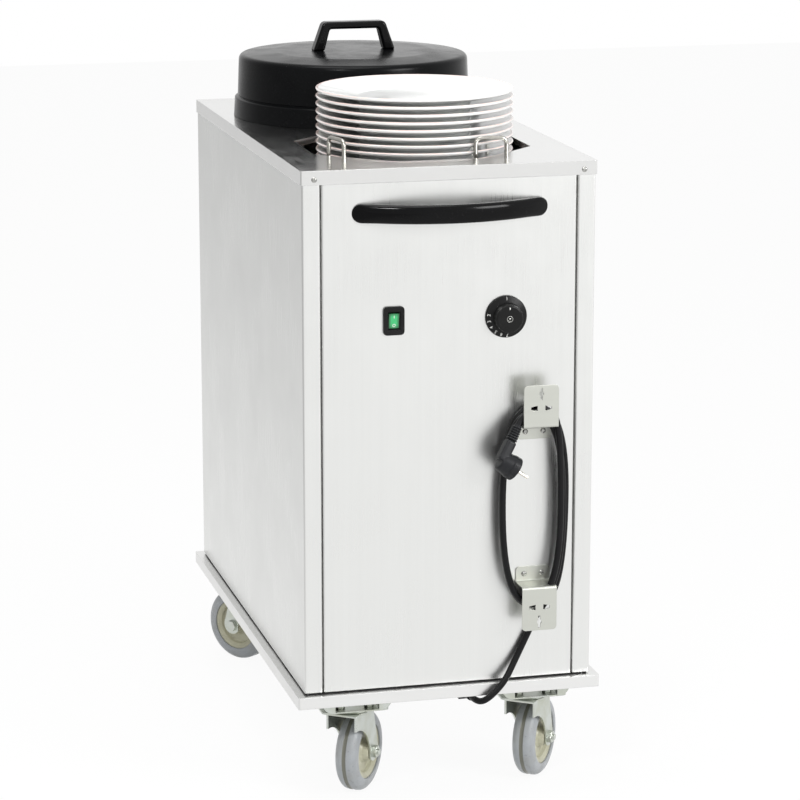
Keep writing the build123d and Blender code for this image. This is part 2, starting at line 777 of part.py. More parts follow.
handle_seat = lid_height - 0.3
with BuildPart() as lid_handle:
    with BuildSketch(lid_plane):
        with BuildLine():
            Polyline(
                (-lid_handle_base / 2, handle_seat),
                (-lid_handle_top / 2, lid_handle_height - lid_clearance),
                (lid_handle_top / 2, lid_handle_height - lid_clearance),
                (lid_handle_base / 2, handle_seat),
                (lid_handle_base / 2 - 18, handle_seat),
                (lid_handle_top / 2 - 10, lid_handle_height - lid_clearance - lid_handle_bar),
                (-lid_handle_top / 2 + 10, lid_handle_height - lid_clearance - lid_handle_bar),
                (-lid_handle_base / 2 + 18, handle_seat),
                close=True,
            )
        make_face()
    extrude(amount=lid_handle_depth / 2, both=True)
    long_edges = lid_handle.edges().filter_by(Axis.X).group_by(Axis.Z)[-1]
    fillet(long_edges, 3)
lid_handle.part.label = "lid_handle"
export_step(lid_handle.part, "parts/lid_handle.step")

# bow-shaped push handle with rounded ends
handle_bottom = tray_top + handle_z - handle_bar / 2
bow_front = front_y - handle_reach
bow_seat = panel_front_y
with BuildPart() as push_handle:
    with BuildSketch(Plane.XY.offset(handle_bottom)):
        with BuildLine():
            ThreePointArc(
                (-handle_length / 2, bow_seat),
                (0, bow_front),
                (handle_length / 2, bow_seat),
            )
            Line((handle_length / 2, bow_seat), (handle_length / 2 - handle_pad, bow_seat))
            ThreePointArc(
                (handle_length / 2 - handle_pad, bow_seat),
                (0, bow_front + handle_thickness),
                (-handle_length / 2 + handle_pad, bow_seat),
            )
            Line((-handle_length / 2 + handle_pad, bow_seat), (-handle_length / 2, bow_seat))
        make_face()
    extrude(amount=handle_bar)
    with BuildSketch(Plane(origin=(0, bow_seat, tray_top + handle_z), x_dir=(1, 0, 0), z_dir=(0, -1, 0))):
        SlotOverall(handle_length - 2 * handle_end_trim, handle_bar)
    extrude(amount=handle_reach + 5, mode=Mode.INTERSECT)
    bow_edges = push_handle.edges().filter_by(GeomType.CIRCLE).group_by(Axis.Y)[0]
    fillet(bow_edges, handle_round)
push_handle.part.label = "push_handle"
export_step(push_handle.part, "parts/push_handle.step")

# switch: bezel with its housing behind the panel, and the rocker
switch_plane = Plane(
    origin=(switch_x, panel_front_y, tray_top + control_z), x_dir=(1, 0, 0), z_dir=(0, -1, 0)
)
rocker_side = Plane(origin=switch_plane.origin, x_dir=(0, -1, 0), z_dir=(1, 0, 0))
with BuildPart() as switch_frame:
    with BuildSketch(switch_plane):
        RectangleRounded(switch_width, switch_height, 3)
    extrude(amount=switch_bezel, taper=8)
    with BuildSketch(switch_plane):
        Rectangle(switch_hole_x - 0.6, switch_hole_z - 0.6)
    extrude(amount=-26)
    with BuildSketch(switch_plane.offset(switch_bezel)):
        Rectangle(rocker_width + 2 * rocker_gap, rocker_height + 2 * rocker_gap)
    extrude(amount=-switch_bezel - rocker_depth - 3, mode=Mode.SUBTRACT)
    with BuildSketch(rocker_side):
        Circle(rocker_pin / 2 + rocker_pin_clearance)
    extrude(amount=rocker_width / 2 + rocker_pin_length + rocker_gap, both=True, mode=Mode.SUBTRACT)
switch_frame.part.label = "switch_frame"
export_step(switch_frame.part, "parts/switch_frame.step")

rocker_half = rocker_height / 2
with BuildPart() as rocker:
    with BuildSketch(rocker_side):
        with BuildLine():
            Polyline(
                (-rocker_depth + 1, -4),
                (-2, -rocker_half + 1.5),
                (switch_bezel - 0.5, -rocker_half + 0.6),
                (switch_bezel - 1.2, 0),
                (switch_bezel - 0.5, rocker_half - 0.6),
                (-2, rocker_half - 1.5),
                (-rocker_depth + 1, 4),
                close=True,
            )
        make_face()
    extrude(amount=rocker_width / 2, both=True)
    with BuildSketch(rocker_side):
        Circle(rocker_pin / 2)
    extrude(amount=rocker_width / 2 + rocker_pin_length, both=True)
rocker_axis = Axis((switch_x, panel_front_y, tray_top + control_z), (1, 0, 0))
rocker_part = rocker.part.rotate(rocker_axis, rocker_swing)
rocker_part.label = "rocker"
export_step(rocker_part, "parts/rocker.step")

# thermostat knob with its shaft, and the thermostat body behind the panel
knob_plane = Plane(origin=(knob_x, panel_front_y, tray_top + knob_z), x_dir=(1, 0, 0), z_dir=(0, -1, 0))
with BuildPart() as knob:
    with BuildSketch(knob_plane.offset(knob_gap)):
        Circle(knob_skirt / 2)
    extrude(amount=knob_skirt_height, taper=10)
    with BuildSketch(knob_plane.offset(knob_gap + knob_skirt_height)):
        Circle(knob_grip / 2)
    extrude(amount=knob_height - knob_gap - knob_skirt_height, taper=6)
    with BuildSketch(knob_plane.offset(knob_height - 2.5)):
        Circle(9)
        Circle(7, mode=Mode.SUBTRACT)
    extrude(amount=4, mode=Mode.SUBTRACT)
    with BuildSketch(knob_plane.offset(knob_gap + 1)):
        Circle(knob_shaft / 2)
    extrude(amount=-knob_gap - 1 - 12)
knob.part.label = "knob"
export_step(knob.part, "parts/knob.step")

with BuildPart() as knob_ring:
    with BuildSketch(knob_plane.offset(knob_height - 2.5)):
        Circle(9)
        Circle(7, mode=Mode.SUBTRACT)
    extrude(amount=2.8)
knob_ring.part.label = "knob_ring"
export_step(knob_ring.part, "parts/knob_ring.step")

with BuildPart() as thermostat_body:
    with BuildSketch(knob_plane.offset(-sheet)):
        Rectangle(thermostat_size, thermostat_size)
    extrude(amount=-thermostat_depth)
    with BuildSketch(knob_plane.offset(-sheet)):
        Circle(knob_shaft / 2 + 0.1)
    extrude(amount=-14, mode=Mode.SUBTRACT)
thermostat_body.part.label = "thermostat_body"
export_step(thermostat_body.part, "parts/thermostat_body.step")

# cord hooks: bent strips that stand off the panel, one turned up and one turned down
hook_face_y = panel_front_y - hook_standoff
hooks = (
    ("upper_cord_hook", upper_hook_base_z, upper_hook_web_z, upper_hook_top_z),
    ("lower_cord_hook", lower_hook_base_z, lower_hook_web_z, lower_hook_tip_z),
)
hook_half = hook_sheet / 2
for name, base_z, web_z, tip_z in hooks:
    rise = 1 if tip_z > web_z else -1
    with BuildPart() as hook:
        with BuildSketch(Plane(origin=(hook_x, 0, tray_top), x_dir=(0, 1, 0), z_dir=(1, 0, 0))):
            with BuildLine():
                FilletPolyline(
                    (panel_front_y - hook_half, base_z),
                    (panel_front_y - hook_half, web_z),
                    (hook_face_y + hook_half, web_z),
                    (hook_face_y + hook_half, tip_z),
                    radius=bend_radius + 1,
                )
            trace(line_width=hook_sheet)
        extrude(amount=hook_width / 2, both=True)
        face_length = abs(tip_z - web_z)
        tip_corners = hook.edges().filter_by(Axis.Y).filter_by(
            lambda edge: abs(edge.center().Z - tray_top - tip_z) < 1
        )
        fillet(tip_corners, 6)
        base_corners = hook.edges().filter_by(Axis.Y).filter_by(
            lambda edge: abs(edge.center().Z - tray_top - base_z) < 1
        )
        fillet(base_corners, 6)
        with BuildSketch(
            Plane(origin=(hook_x, hook_face_y - 1, tray_top), x_dir=(1, 0, 0), z_dir=(0, -1, 0))
        ):
            slot_z = web_z + rise * face_length * 0.46
            for side in (-1, 1):
                with BuildLine():
                    Polyline(
                        (side * 6, slot_z - 4.2),
                        (side * 16, slot_z - 2.2),
                        (side * 16, slot_z + 2.2),
                        (side * 6, slot_z + 4.2),
                        close=True,
                    )
                make_face()
            with Locations((0, web_z + rise * face_length * 0.8)):
                Circle(3.6)
                Rectangle(3.4, face_length * 0.28)
        extrude(amount=-hook_sheet - 2, mode=Mode.SUBTRACT)
    hook.part.label = name
    export_step(hook.part, "parts/" + name + ".step")

hook_screw_places = [
    (hook_x + side * hook_screw_x, z)
    for side in (-1, 1)
    for z in (upper_hook_base_z + 12, lower_hook_base_z - 11)
]
with BuildPart() as hook_screws:
    hook_plane = Plane(
        origin=(0, panel_front_y - hook_sheet, tray_top), x_dir=(1, 0, 0), z_dir=(0, -1, 0)
    )
    with BuildSketch(hook_plane):
        with Locations(*hook_screw_places):
            Circle(screw_head / 2)
    extrude(amount=1.8)
    with BuildSketch(hook_plane.offset(1.8)):
        with Locations(*hook_screw_places):
            Circle(screw_head / 2 - 1.4)
    extrude(amount=0.7)
hook_screws.part.label = "hook_screws"
export_step(hook_screws.part, "parts/hook_screws.step")

# supply cord: gland below the tray, lead up to the hooks, hank round the hooks, tail to the plug
gland_x = 40.0
gland_back = 42.0
gland_drop = 27.0
gland_length = 26.0
gland_plane = Plane(
    origin=(gland_x, front_y + gland_back, tray_top - gland_drop), x_dir=(1, 0, 0), z_dir=(0, -1, 0)
)
with BuildPart() as cable_gland:
    with BuildSketch(gland_plane):
        Circle(10)
    with BuildSketch(gland_plane.offset(gland_length)):
        Circle(7)
    loft()
    with BuildSketch(gland_plane):
        Rectangle(26, 24)
    extrude(amount=-10)
    with BuildSketch(gland_plane.offset(-10)):
        with Locations((0, gland_drop / 2 - sheet / 2 + 2)):
            Rectangle(26, gland_drop - sheet - 4)
    extrude(amount=3)
cable_gland.part.label = "cable_gland"
export_step(cable_gland.part, "parts/cable_gland.step")


def cord_point(x, stand_off, z):
    """A point of the cord's route: x, distance in front of the cabinet, height above the tray."""
    return (x, front_y - stand_off, tray_top + z)


def measured_radii(points, share):
    """Largest tangent arc for each corner of a route, as a share of the shorter run."""
    radii = []
    for before, corner, after in zip(points, points[1:], points[2:]):
        first = Vector(*corner) - Vector(*before)
        second = Vector(*after) - Vector(*corner)
        half_turn = math.radians(first.get_angle(second)) / 2
        radii.append(share * min(first.length, second.length) / math.tan(half_turn))
    return radii


gland_tip = gland_length - gland_back
join_x = 123.0
join_out = 5.4
join_z = 76.0
join_step = 11.0
lead_route = [
    cord_point(gland_x, gland_tip, -gland_drop),
    cord_point(gland_x, 2, -gland_drop),
    cord_point(48, 18, -gland_drop + 1),
    cord_point(64, 21, -14),
    cord_point(84, 18, 6),
    cord_point(99, 10, 30),
    cord_point(join_x - join_step, join_out + join_step / 11, join_z - 2 * join_step),
    cord_point(join_x, join_out, join_z),
]
lead_radii = measured_radii(lead_route, 0.45)
print("lead radii", [round(radius, 1) for radius in lead_radii])
with BuildPart() as cord_lead:
    with BuildLine() as lead_path:
        FilletPolyline(*lead_route, radius=lead_radii)
    with BuildSketch(Plane(origin=lead_path.line @ 0, z_dir=lead_path.line % 0)):
        Circle(cord_diameter / 2)
    sweep(path=lead_path.line)
cord_lead.part.label = "cord_lead"
export_step(cord_lead.part, "parts/cord_lead.step")

hank_route = [
    cord_point(join_x, join_out, join_z),
    cord_point(join_x + 15, join_out - 15 / 11, join_z + 30),
    cord_point(180, 4, 158),
    cord_point(180, 5, 428),
    cord_point(79, 5, 428),
    cord_point(79, 14.8, 122),
    cord_point(173, 14.8, 122),
    cord_point(173, 16, 421),
    cord_point(76.5, 16, 421),
    cord_point(76.5, 26, 128),
    cord_point(166, 26, 128),
    cord_point(166, 27.5, 419),
    cord_point(134, 28, 421),
]
hank_radii = measured_radii(hank_route[:4], 0.45) + [46, 46, 42, 42, 42, 42, 36, 34, 24]
with BuildPart() as cord_hank:
    with BuildLine() as hank_path:
        FilletPolyline(*hank_route, radius=hank_radii)
    with BuildSketch(Plane(origin=hank_path.line @ 0, z_dir=hank_path.line % 0)):
        Circle(cord_diameter / 2)
    sweep(path=hank_path.line)
cord_hank.part.label = "cord_hank"
export_step(cord_hank.part, "parts/cord_hank.step")

neck_direction = Vector(-0.511, -0.249, -0.823).normalized()
neck_start = Vector(*cord_point(96.5, 31.5, 406))
tail_route = [
    cord_point(134, 28, 421),
    cord_point(134 - 18, 28 + 0.5 * 18 / 32, 421 + 2 * 18 / 32),
    tuple(neck_start - neck_direction * 14),
    tuple(neck_start),
]
tail_radii = measured_radii(tail_route, 0.45)
print("tail radii", [round(radius, 1) for radius in tail_radii])
with BuildPart() as cord_tail:
    with BuildLine() as tail_path:
        FilletPolyline(*tail_route, radius=tail_radii)
    with BuildSketch(Plane(origin=tail_path.line @ 0, z_dir=tail_path.line % 0)):
        Circle(cord_diameter / 2)
    sweep(path=tail_path.line)
cord_tail.part.label = "cord_tail"
export_step(cord_tail.part, "parts/cord_tail.step")

# least gap between strands of the hank, measured on points of its centre line
hank_line = hank_path.wires()[0]
samples = 700
spots = [hank_line @ (index / samples) for index in range(samples + 1)]
step_length = hank_line.length / samples
skip = int(3.2 * cord_diameter / step_length) + 1
least = min(
    (spots[first] - spots[second]).length
    for first in range(0, samples + 1)
    for second in range(first + skip, samples + 1)
)
print("hank least self-gap", round(least - cord_diameter, 2))
for name, path in (("lead", lead_path), ("hank", hank_path), ("tail", tail_path)):
    print(name, "length", round(path.wires()[0].length))

# angled plug: ribbed neck, elbow shell, round front and two pins
face_direction = Vector(0.82, 0, -0.572)
neck_length = 26.0
neck_plane = Plane(origin=neck_start, x_dir=(0, 1, 0), z_dir=neck_direction)
body_plane = Plane(
    origin=Vector(*cord_point(89.9, 43, 341.8)), x_dir=(0, 1, 0), z_dir=face_direction
)
with BuildPart() as plug:
    with BuildSketch(body_plane.offset(-plug_depth)):
        Circle(plug_diameter / 2 - 3)
    with BuildSketch(body_plane.offset(-10)):
        Circle(plug_diameter / 2)
    loft()
    with BuildSketch(body_plane.offset(-10)):
        Circle(plug_diameter / 2)
    extrude(amount=10)
    with BuildSketch(neck_plane):
        Circle(6.5)
    with BuildSketch(neck_plane.offset(neck_length)):
        Circle(8.5)
    loft()
    with BuildSketch(neck_plane.offset(neck_length)):
        RectangleRounded(22, 17, 4)
    extrude(amount=34)
    for rib in range(6):
        with BuildSketch(neck_plane.offset(3 + rib * 3.6)):
            Circle(9.2)
        extrude(amount=1.6)
    for side in (-1, 1):
        with BuildSketch(body_plane):
            with Locations((side * pin_spacing / 2, 0)):
                Circle(pin_root_diameter / 2)
        extrude(amount=-pin_root_depth, mode=Mode.SUBTRACT)
plug.part.label = "plug"
export_step(plug.part, "parts/plug.step")

with BuildPart() as plug_pins:
    for side in (-1, 1):
        with BuildSketch(body_plane.offset(-pin_root_depth)):
            with Locations((side * pin_spacing / 2, 0)):
                Circle(pin_root_diameter / 2)
        extrude(amount=pin_root_depth + pin_root_show)
        with BuildSketch(body_plane.offset(pin_root_show)):
            with Locations((side * pin_spacing / 2, 0)):
                Circle(pin_diameter / 2)
        extrude(amount=pin_length - pin_root_show)
plug_pins.part.label = "plug_pins"
export_step(plug_pins.part, "parts/plug_pins.step")
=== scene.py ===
import json
import math

import bmesh
import bpy
from mathutils import Matrix, Vector


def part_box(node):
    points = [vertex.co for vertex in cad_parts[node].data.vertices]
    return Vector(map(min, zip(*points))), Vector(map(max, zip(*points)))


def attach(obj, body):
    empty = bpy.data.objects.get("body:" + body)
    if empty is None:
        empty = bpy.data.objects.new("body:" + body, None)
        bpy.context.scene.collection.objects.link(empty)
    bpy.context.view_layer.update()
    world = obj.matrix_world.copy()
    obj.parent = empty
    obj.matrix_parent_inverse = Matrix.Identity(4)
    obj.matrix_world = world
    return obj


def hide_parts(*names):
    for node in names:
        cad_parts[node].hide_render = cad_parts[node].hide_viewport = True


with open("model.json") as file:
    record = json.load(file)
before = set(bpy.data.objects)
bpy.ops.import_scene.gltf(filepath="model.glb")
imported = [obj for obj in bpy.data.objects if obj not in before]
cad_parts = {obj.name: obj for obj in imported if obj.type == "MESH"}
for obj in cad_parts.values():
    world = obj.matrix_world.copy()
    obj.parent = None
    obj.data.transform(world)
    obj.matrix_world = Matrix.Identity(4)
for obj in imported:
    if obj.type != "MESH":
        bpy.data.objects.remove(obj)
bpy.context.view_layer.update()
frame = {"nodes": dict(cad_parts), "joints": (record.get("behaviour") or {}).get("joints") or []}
nodes = frame["nodes"]

# Places read from the frame, in metres
tray_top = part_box("base_seal")[0].z
worktop_low, worktop_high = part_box("worktop")
front_y = worktop_low.y
panel_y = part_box("front_panel")[0].y
castor_names = ["front_left", "front_right", "rear_left", "rear_right"]
stack_names = ["front", "rear"]
joint_of = {joint["name"]: joint for joint in frame["joints"]}

# Sizes shared by several pieces, in metres
cord_diameter = 0.010
lid_crown = 0.1045

# Levels of the floor and the surroundings, from 0 to 1
mirrored_dark_side = 0.52
floor_white_share = 0.93
soft_light_level = 0.62


# Mesh helpers

def new_object(name, data):
    """A new object around its data, placed in the scene."""
    piece = bpy.data.objects.new(name, data)
    bpy.context.scene.collection.objects.link(piece)
    return piece


def mesh_object(name, vertices, faces, smooth_angle=40):
    """A new object from lists of points and faces, smooth up to an angle."""
    mesh = bpy.data.meshes.new(name)
    mesh.from_pydata([tuple(point) for point in vertices], [], faces)
    made = bmesh.new()
    made.from_mesh(mesh)
    bmesh.ops.remove_doubles(made, verts=made.verts, dist=1e-6)
    bmesh.ops.recalc_face_normals(made, faces=made.faces)
    made.to_mesh(mesh)
    made.free()
    mesh.shade_smooth()
    mesh.set_sharp_from_angle(angle=math.radians(smooth_angle))
    return new_object(name, mesh)


def axes_frame(origin, up, side=None):
    """Matrix whose local z is up and whose local x is close to side."""
    z = Vector(up).normalized()
    x = Vector(side or (1, 0, 0))
    x = (x - z * x.dot(z)).normalized()
    y = z.cross(x)
    matrix = Matrix((x, y, z)).transposed().to_4x4()
    matrix.translation = Vector(origin)
    return matrix


def rounded_outline(corners, steps=6, closed=False):
    """Outline through corners given as (x, z, radius), with each corner rounded by an arc."""
    points = []
    count = len(corners)
    for index, (x, z, radius) in enumerate(corners):
        corner = Vector((x, z))
        if radius == 0 or (not closed and index in (0, count - 1)):
            points.append(corner)
            continue
        before = Vector(corners[index - 1][:2]) - corner
        after = Vector(corners[(index + 1) % count][:2]) - corner
        half_turn = before.angle(after) / 2
        reach = min(radius / math.tan(half_turn), before.length * 0.49, after.length * 0.49)
        start = corner + before.normalized() * reach
        end = corner + after.normalized() * reach
        for step in range(steps + 1):
            share = step / steps
            points.append(
                start * (1 - share) ** 2 + corner * 2 * share * (1 - share) + end * share ** 2
            )
    return points


def revolved(name, outline, place, segments=96, smooth_angle=40):
    """Piece turned from an outline of (radius, height) about the local z of a place."""
    vertices = []
    for index in range(segments):
        angle = 2 * math.pi * index / segments
        for radius, height in outline:
            vertices.append((radius * math.cos(angle), radius * math.sin(angle), height))
    faces = []
    rows = len(outline)
    for index in range(segments):
        for row in range(rows - 1):
            first = index * rows + row
            second = ((index + 1) % segments) * rows + row
            faces.append((first, second, second + 1, first + 1))
    piece = mesh_object(name, vertices, faces, smooth_angle)
    piece.matrix_world = place
    return piece


def prism(name, outline, depth, place, edge=0.0, edge_steps=3):
    """Piece pushed out from a closed outline of (x, y) along the local z of a place."""
    count = len(outline)
    vertices = [(x, y, 0) for x, y in outline] + [(x, y, depth) for x, y in outline]
    faces = [tuple(range(count)), tuple(range(count, 2 * count))]
    for index in range(count):
        after = (index + 1) % count
        faces.append((index, after, after + count, index + count))
    piece = mesh_object(name, vertices, faces)
    piece.matrix_world = place
    if edge:
        bevel = piece.modifiers.new("soft edges", "BEVEL")
        bevel.width = edge
        bevel.segments = edge_steps
        bevel.limit_method = "ANGLE"
        bevel.angle_limit = math.radians(35)
        bevel.harden_normals = True
    return piece


def rectangle(width, height, radius=0.0, steps=5):
    """Closed outline of a rectangle with rounded corners."""
    half_width, half_height = width / 2, height / 2
    corners = [(-half_width, -half_height), (half_width, -half_height),
               (half_width, half_height), (-half_width, half_height)]
    return rounded_outline([(x, y, radius) for x, y in corners], steps, closed=True)


def cut(piece, cutters):
    """Takes the cutters' shapes out of a piece and deletes them."""
    for cutter in cutters:
        boolean = piece.modifiers.new("cut", "BOOLEAN")
        boolean.operation = "DIFFERENCE"
        boolean.solver = "EXACT"
        boolean.object = cutter
    bake_modifiers(piece)
    for cutter in cutters:
        bpy.data.objects.remove(cutter)


def bake_modifiers(piece):
    """Turns a piece's modifiers into its mesh."""
    bpy.context.view_layer.update()
    graph = bpy.context.evaluated_depsgraph_get()
    mesh = bpy.data.meshes.new_from_object(piece.evaluated_get(graph))
    piece.modifiers.clear()
    piece.data = mesh


def dress(piece, material, body=None, replaces=()):
    """Gives a new piece its material and body, and hides the nodes it stands for."""
    piece.data.materials.clear()
    piece.data.materials.append(material)
    if body:
        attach(piece, body)
    if replaces:
        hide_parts(*replaces)
    return piece


def paint(material, *names):
    """Gives CAD nodes a material."""
    for name in names:
        nodes[name].data.materials.clear()
        nodes[name].data.materials.append(material)


# Node groups shared by the materials

def new_group(name, inputs, outputs):
    """Empty shader node group with named sockets."""
    group = bpy.data.node_groups.new(name, "ShaderNodeTree")
    for label, kind, value in inputs:
        socket = group.interface.new_socket(label, in_out="INPUT", socket_type=kind)
        if value is not None:
            socket.default_value = value
    for label, kind in outputs:
        group.interface.new_socket(label, in_out="OUTPUT", socket_type=kind)
    return group, group.nodes.new("NodeGroupInput"), group.nodes.new("NodeGroupOutput")


def add(tree, kind, links=None, **settings):
    """Adds a node, sets its properties and inputs, and links its inputs to other sockets."""
    made = tree.nodes.new(kind)
    for label, value in settings.items():
        setattr(made, label, value)
    for label, source in (links or {}).items():
        socket = made.inputs[label]
        if isinstance(source, bpy.types.NodeSocket):
            tree.links.new(source, socket)
        else:
            socket.default_value = source
    return made


def scaled_noise(tree, vector, scale, detail=2.0, roughness=0.5):
    """Noise value on a vector, 0 to 1."""
    made = add(tree, "ShaderNodeTexNoise", {"Vector": vector, "Scale": scale, "Detail": detail,
                                            "Roughness": roughness})
    return made.outputs["Fac"]


def mapped(tree, value, low, high, to_low=0.0, to_high=1.0):
    """Value moved from one range to another, held inside it."""
    made = add(tree, "ShaderNodeMapRange", {"Value": value, "From Min": low, "From Max": high,
                                            "To Min": to_low, "To Max": to_high})
    return made.outputs["Result"]


def brushed_grain_group():
    """Fine lines drawn out along one direction, with slow clouds over them."""
    group, start, end = new_group(
        "Brushed grain",
        [("Place", "NodeSocketVector", None), ("Lines Per Metre", "NodeSocketVector", (900, 900, 12)),
         ("Cloud Size", "NodeSocketFloat", 3.0)],
        [("Lines", "NodeSocketFloat"), ("Streaks", "NodeSocketFloat"), ("Clouds", "NodeSocketFloat")],
    )
    stretched = add(group, "ShaderNodeVectorMath",
                    {0: start.outputs["Place"], 1: start.outputs["Lines Per Metre"]},
                    operation="MULTIPLY").outputs[0]
    lines = scaled_noise(group, stretched, 1.0, 3.0, 0.65)
    streaks = scaled_noise(group, stretched, 0.16, 2.0, 0.6)
    clouds = scaled_noise(group, start.outputs["Place"], start.outputs["Cloud Size"], 3.0, 0.5)
    for label, value in (("Lines", lines), ("Streaks", streaks), ("Clouds", clouds)):
        group.links.new(mapped(group, value, 0.25, 0.75), end.inputs[label])
    return group


def worn_edges_group():
    """Mask of the edges for a painted highlight, broken up by noise, and a normal that rounds them."""
    group, start, end = new_group(
        "Painted edge highlight and rounding",
        [("Place", "NodeSocketVector", None), ("Edge Radius", "NodeSocketFloat", 0.0012),
         ("Grit Size", "NodeSocketFloat", 140.0)],
        [("Edge", "NodeSocketFloat"), ("Soft Normal", "NodeSocketVector")],
    )
    bevel = add(group, "ShaderNodeBevel", {"Radius": start.outputs["Edge Radius"]}, samples=4)
    surface = add(group, "ShaderNodeNewGeometry")
    agree = add(group, "ShaderNodeVectorMath", {0: bevel.outputs[0], 1: surface.outputs["Normal"]},
                operation="DOT_PRODUCT").outputs["Value"]
    edge = mapped(group, agree, 0.995, 0.75)
    grit = mapped(group, scaled_noise(group, start.outputs["Place"], start.outputs["Grit Size"]), 0.35, 0.6)
    broken = add(group, "ShaderNodeMath", {0: edge, 1: grit}, operation="MULTIPLY").outputs[0]
    group.links.new(broken, end.inputs["Edge"])
    group.links.new(bevel.outputs[0], end.inputs["Soft Normal"])
    return group


def handled_marks_group():
    """Soft smudges and small specks of use."""
    group, start, end = new_group(
        "Handled marks",
        [("Place", "NodeSocketVector", None), ("Smudge Size", "NodeSocketFloat", 9.0),
         ("Speck Size", "NodeSocketFloat", 260.0)],
        [("Smudge", "NodeSocketFloat"), ("Speck", "NodeSocketFloat")],
    )
    smudge = scaled_noise(group, start.outputs["Place"], start.outputs["Smudge Size"], 4.0, 0.6)
    speck = scaled_noise(group, start.outputs["Place"], start.outputs["Speck Size"], 1.0, 0.5)
    group.links.new(mapped(group, smudge, 0.4, 0.7), end.inputs["Smudge"])
    group.links.new(mapped(group, speck, 0.66, 0.76), end.inputs["Speck"])
    return group


def moulded_skin_group():
    """Fine pebble of moulded plastic or rubber, as a height and a shade."""
    group, start, end = new_group(
        "Moulded skin",
        [("Place", "NodeSocketVector", None), ("Pebble Size", "NodeSocketFloat", 900.0)],
        [("Height", "NodeSocketFloat"), ("Shade", "NodeSocketFloat")],
    )
    pebble = scaled_noise(group, start.outputs["Place"], start.outputs["Pebble Size"], 2.0, 0.5)
    shade = scaled_noise(group, start.outputs["Place"], 14.0, 3.0, 0.55)
    group.links.new(pebble, end.inputs["Height"])
    group.links.new(mapped(group, shade, 0.3, 0.7), end.inputs["Shade"])
    return group


brushed_grain = brushed_grain_group()
# Edge mask for a painted highlight, and a normal that rounds the edges
edge_highlight_and_rounding = worn_edges_group()
handled_marks = handled_marks_group()
moulded_skin = moulded_skin_group()


# Materials

class Finish:
    """A material with its shader, its object coordinates and short ways to add to it."""

    def __init__(self, name, **uniform):
        self.material = bpy.data.materials.new(name)
        self.material.use_nodes = True
        self.tree = self.material.node_tree
        self.shader = self.tree.nodes["Principled BSDF"]
        self.place = add(self.tree, "ShaderNodeTexCoord").outputs["Object"]
        for label, value in uniform.items():
            self.shader.inputs[label.replace("_", " ")].default_value = value

    def group(self, group, **values):
        """A shared group placed in this material with its own values."""
        made = self.tree.nodes.new("ShaderNodeGroup")
        made.node_tree = group
        self.tree.links.new(self.place, made.inputs["Place"])
        for label, value in values.items():
            made.inputs[label.replace("_", " ")].default_value = value
        return made.outputs

    def mix(self, share, first, second):
        """Colour between two colours or colour sockets."""
        made = add(self.tree, "ShaderNodeMix", data_type="RGBA")
        for index, source in ((0, share), (6, first), (7, second)):
            if isinstance(source, bpy.types.NodeSocket):
                self.tree.links.new(source, made.inputs[index])
            elif isinstance(source, (tuple, list)):
                made.inputs[index].default_value = (*source[:3], 1)
            else:
                made.inputs[index].default_value = source
        return made.outputs[2]

    def math(self, operation, first, second):
        """One step of arithmetic on sockets or numbers."""
        return add(self.tree, "ShaderNodeMath", {0: first, 1: second}, operation=operation).outputs[0]

    def set(self, label, socket):
        """Feeds a socket of the shader."""
        self.tree.links.new(socket, self.shader.inputs[label])

    def bump(self, height, strength, distance, normal=None):
        """Bump on top of the surface, or on top of another normal."""
        made = add(self.tree, "ShaderNodeBump",
                   {"Height": height, "Strength": strength, "Distance": distance})
        if normal is not None:
            self.tree.links.new(normal, made.inputs["Normal"])
        self.set("Normal", made.outputs[0])


def steel_sheet(name, lines, colour, rough, edge_radius=0.0012, streak=0.012):
    """Brushed stainless sheet with its lines along the axis whose density is low."""
    finish = Finish(name, Metallic=1.0)
    grain = finish.group(brushed_grain, Lines_Per_Metre=lines)
    edges = finish.group(edge_highlight_and_rounding, Edge_Radius=edge_radius)
    marks = finish.group(handled_marks)
    darker = tuple(channel * (1 - 2.2 * streak) for channel in colour)
    base = finish.mix(grain["Streaks"], darker, colour)
    base = finish.mix(finish.math("MULTIPLY", grain["Lines"], 0.30), base, tuple(c * 1.02 for c in colour))
    # Painted highlight: the edges are lightened towards near white
    base = finish.mix(finish.math("MULTIPLY", edges["Edge"], 0.5), base, (0.93, 0.93, 0.92))
    finish.set("Base Color", base)
    roughness = mapped(finish.tree, grain["Lines"], 0, 1, rough - 0.04, rough + 0.05)
    smudged = finish.math("ADD", roughness, finish.math("MULTIPLY", marks["Smudge"], 0.05))
    finish.set("Roughness", finish.math("ADD", smudged, finish.math("MULTIPLY", grain["Clouds"], 0.03)))
    finish.bump(grain["Lines"], 0.06, 0.00003, edges["Soft Normal"])
    return finish.material


def zinc_plate():
    """Bright zinc plate, a little uneven, with a faint warm tint in places."""
    finish = Finish("zinc plated steel", Metallic=1.0)
    marks = finish.group(handled_marks, Smudge_Size=28.0)
    edges = finish.group(edge_highlight_and_rounding, Edge_Radius=0.0014)
    skin = finish.group(moulded_skin, Pebble_Size=420.0)
    base = finish.mix(marks["Smudge"], (0.60, 0.63, 0.59), (0.50, 0.52, 0.43))
    # Painted highlight: the edges are lightened towards near white
    base = finish.mix(finish.math("MULTIPLY", edges["Edge"], 0.6), base, (0.92, 0.93, 0.92))
    finish.set("Base Color", base)
    finish.set("Roughness", mapped(finish.tree, skin["Shade"], 0, 1, 0.26, 0.40))
    finish.bump(skin["Height"], 0.12, 0.0002, edges["Soft Normal"])
    return finish.material


def polished_rod():
    """Polished steel rod of the swing guides."""
    finish = Finish("polished rod steel", Metallic=1.0)
    marks = finish.group(handled_marks, Smudge_Size=60.0)
    finish.set("Base Color", finish.mix(marks["Smudge"], (0.50, 0.49, 0.45), (0.38, 0.37, 0.34)))
    finish.set("Roughness", mapped(finish.tree, marks["Smudge"], 0, 1, 0.16, 0.27))
    finish.bump(marks["Speck"], 0.1, 0.0001)
    return finish.material


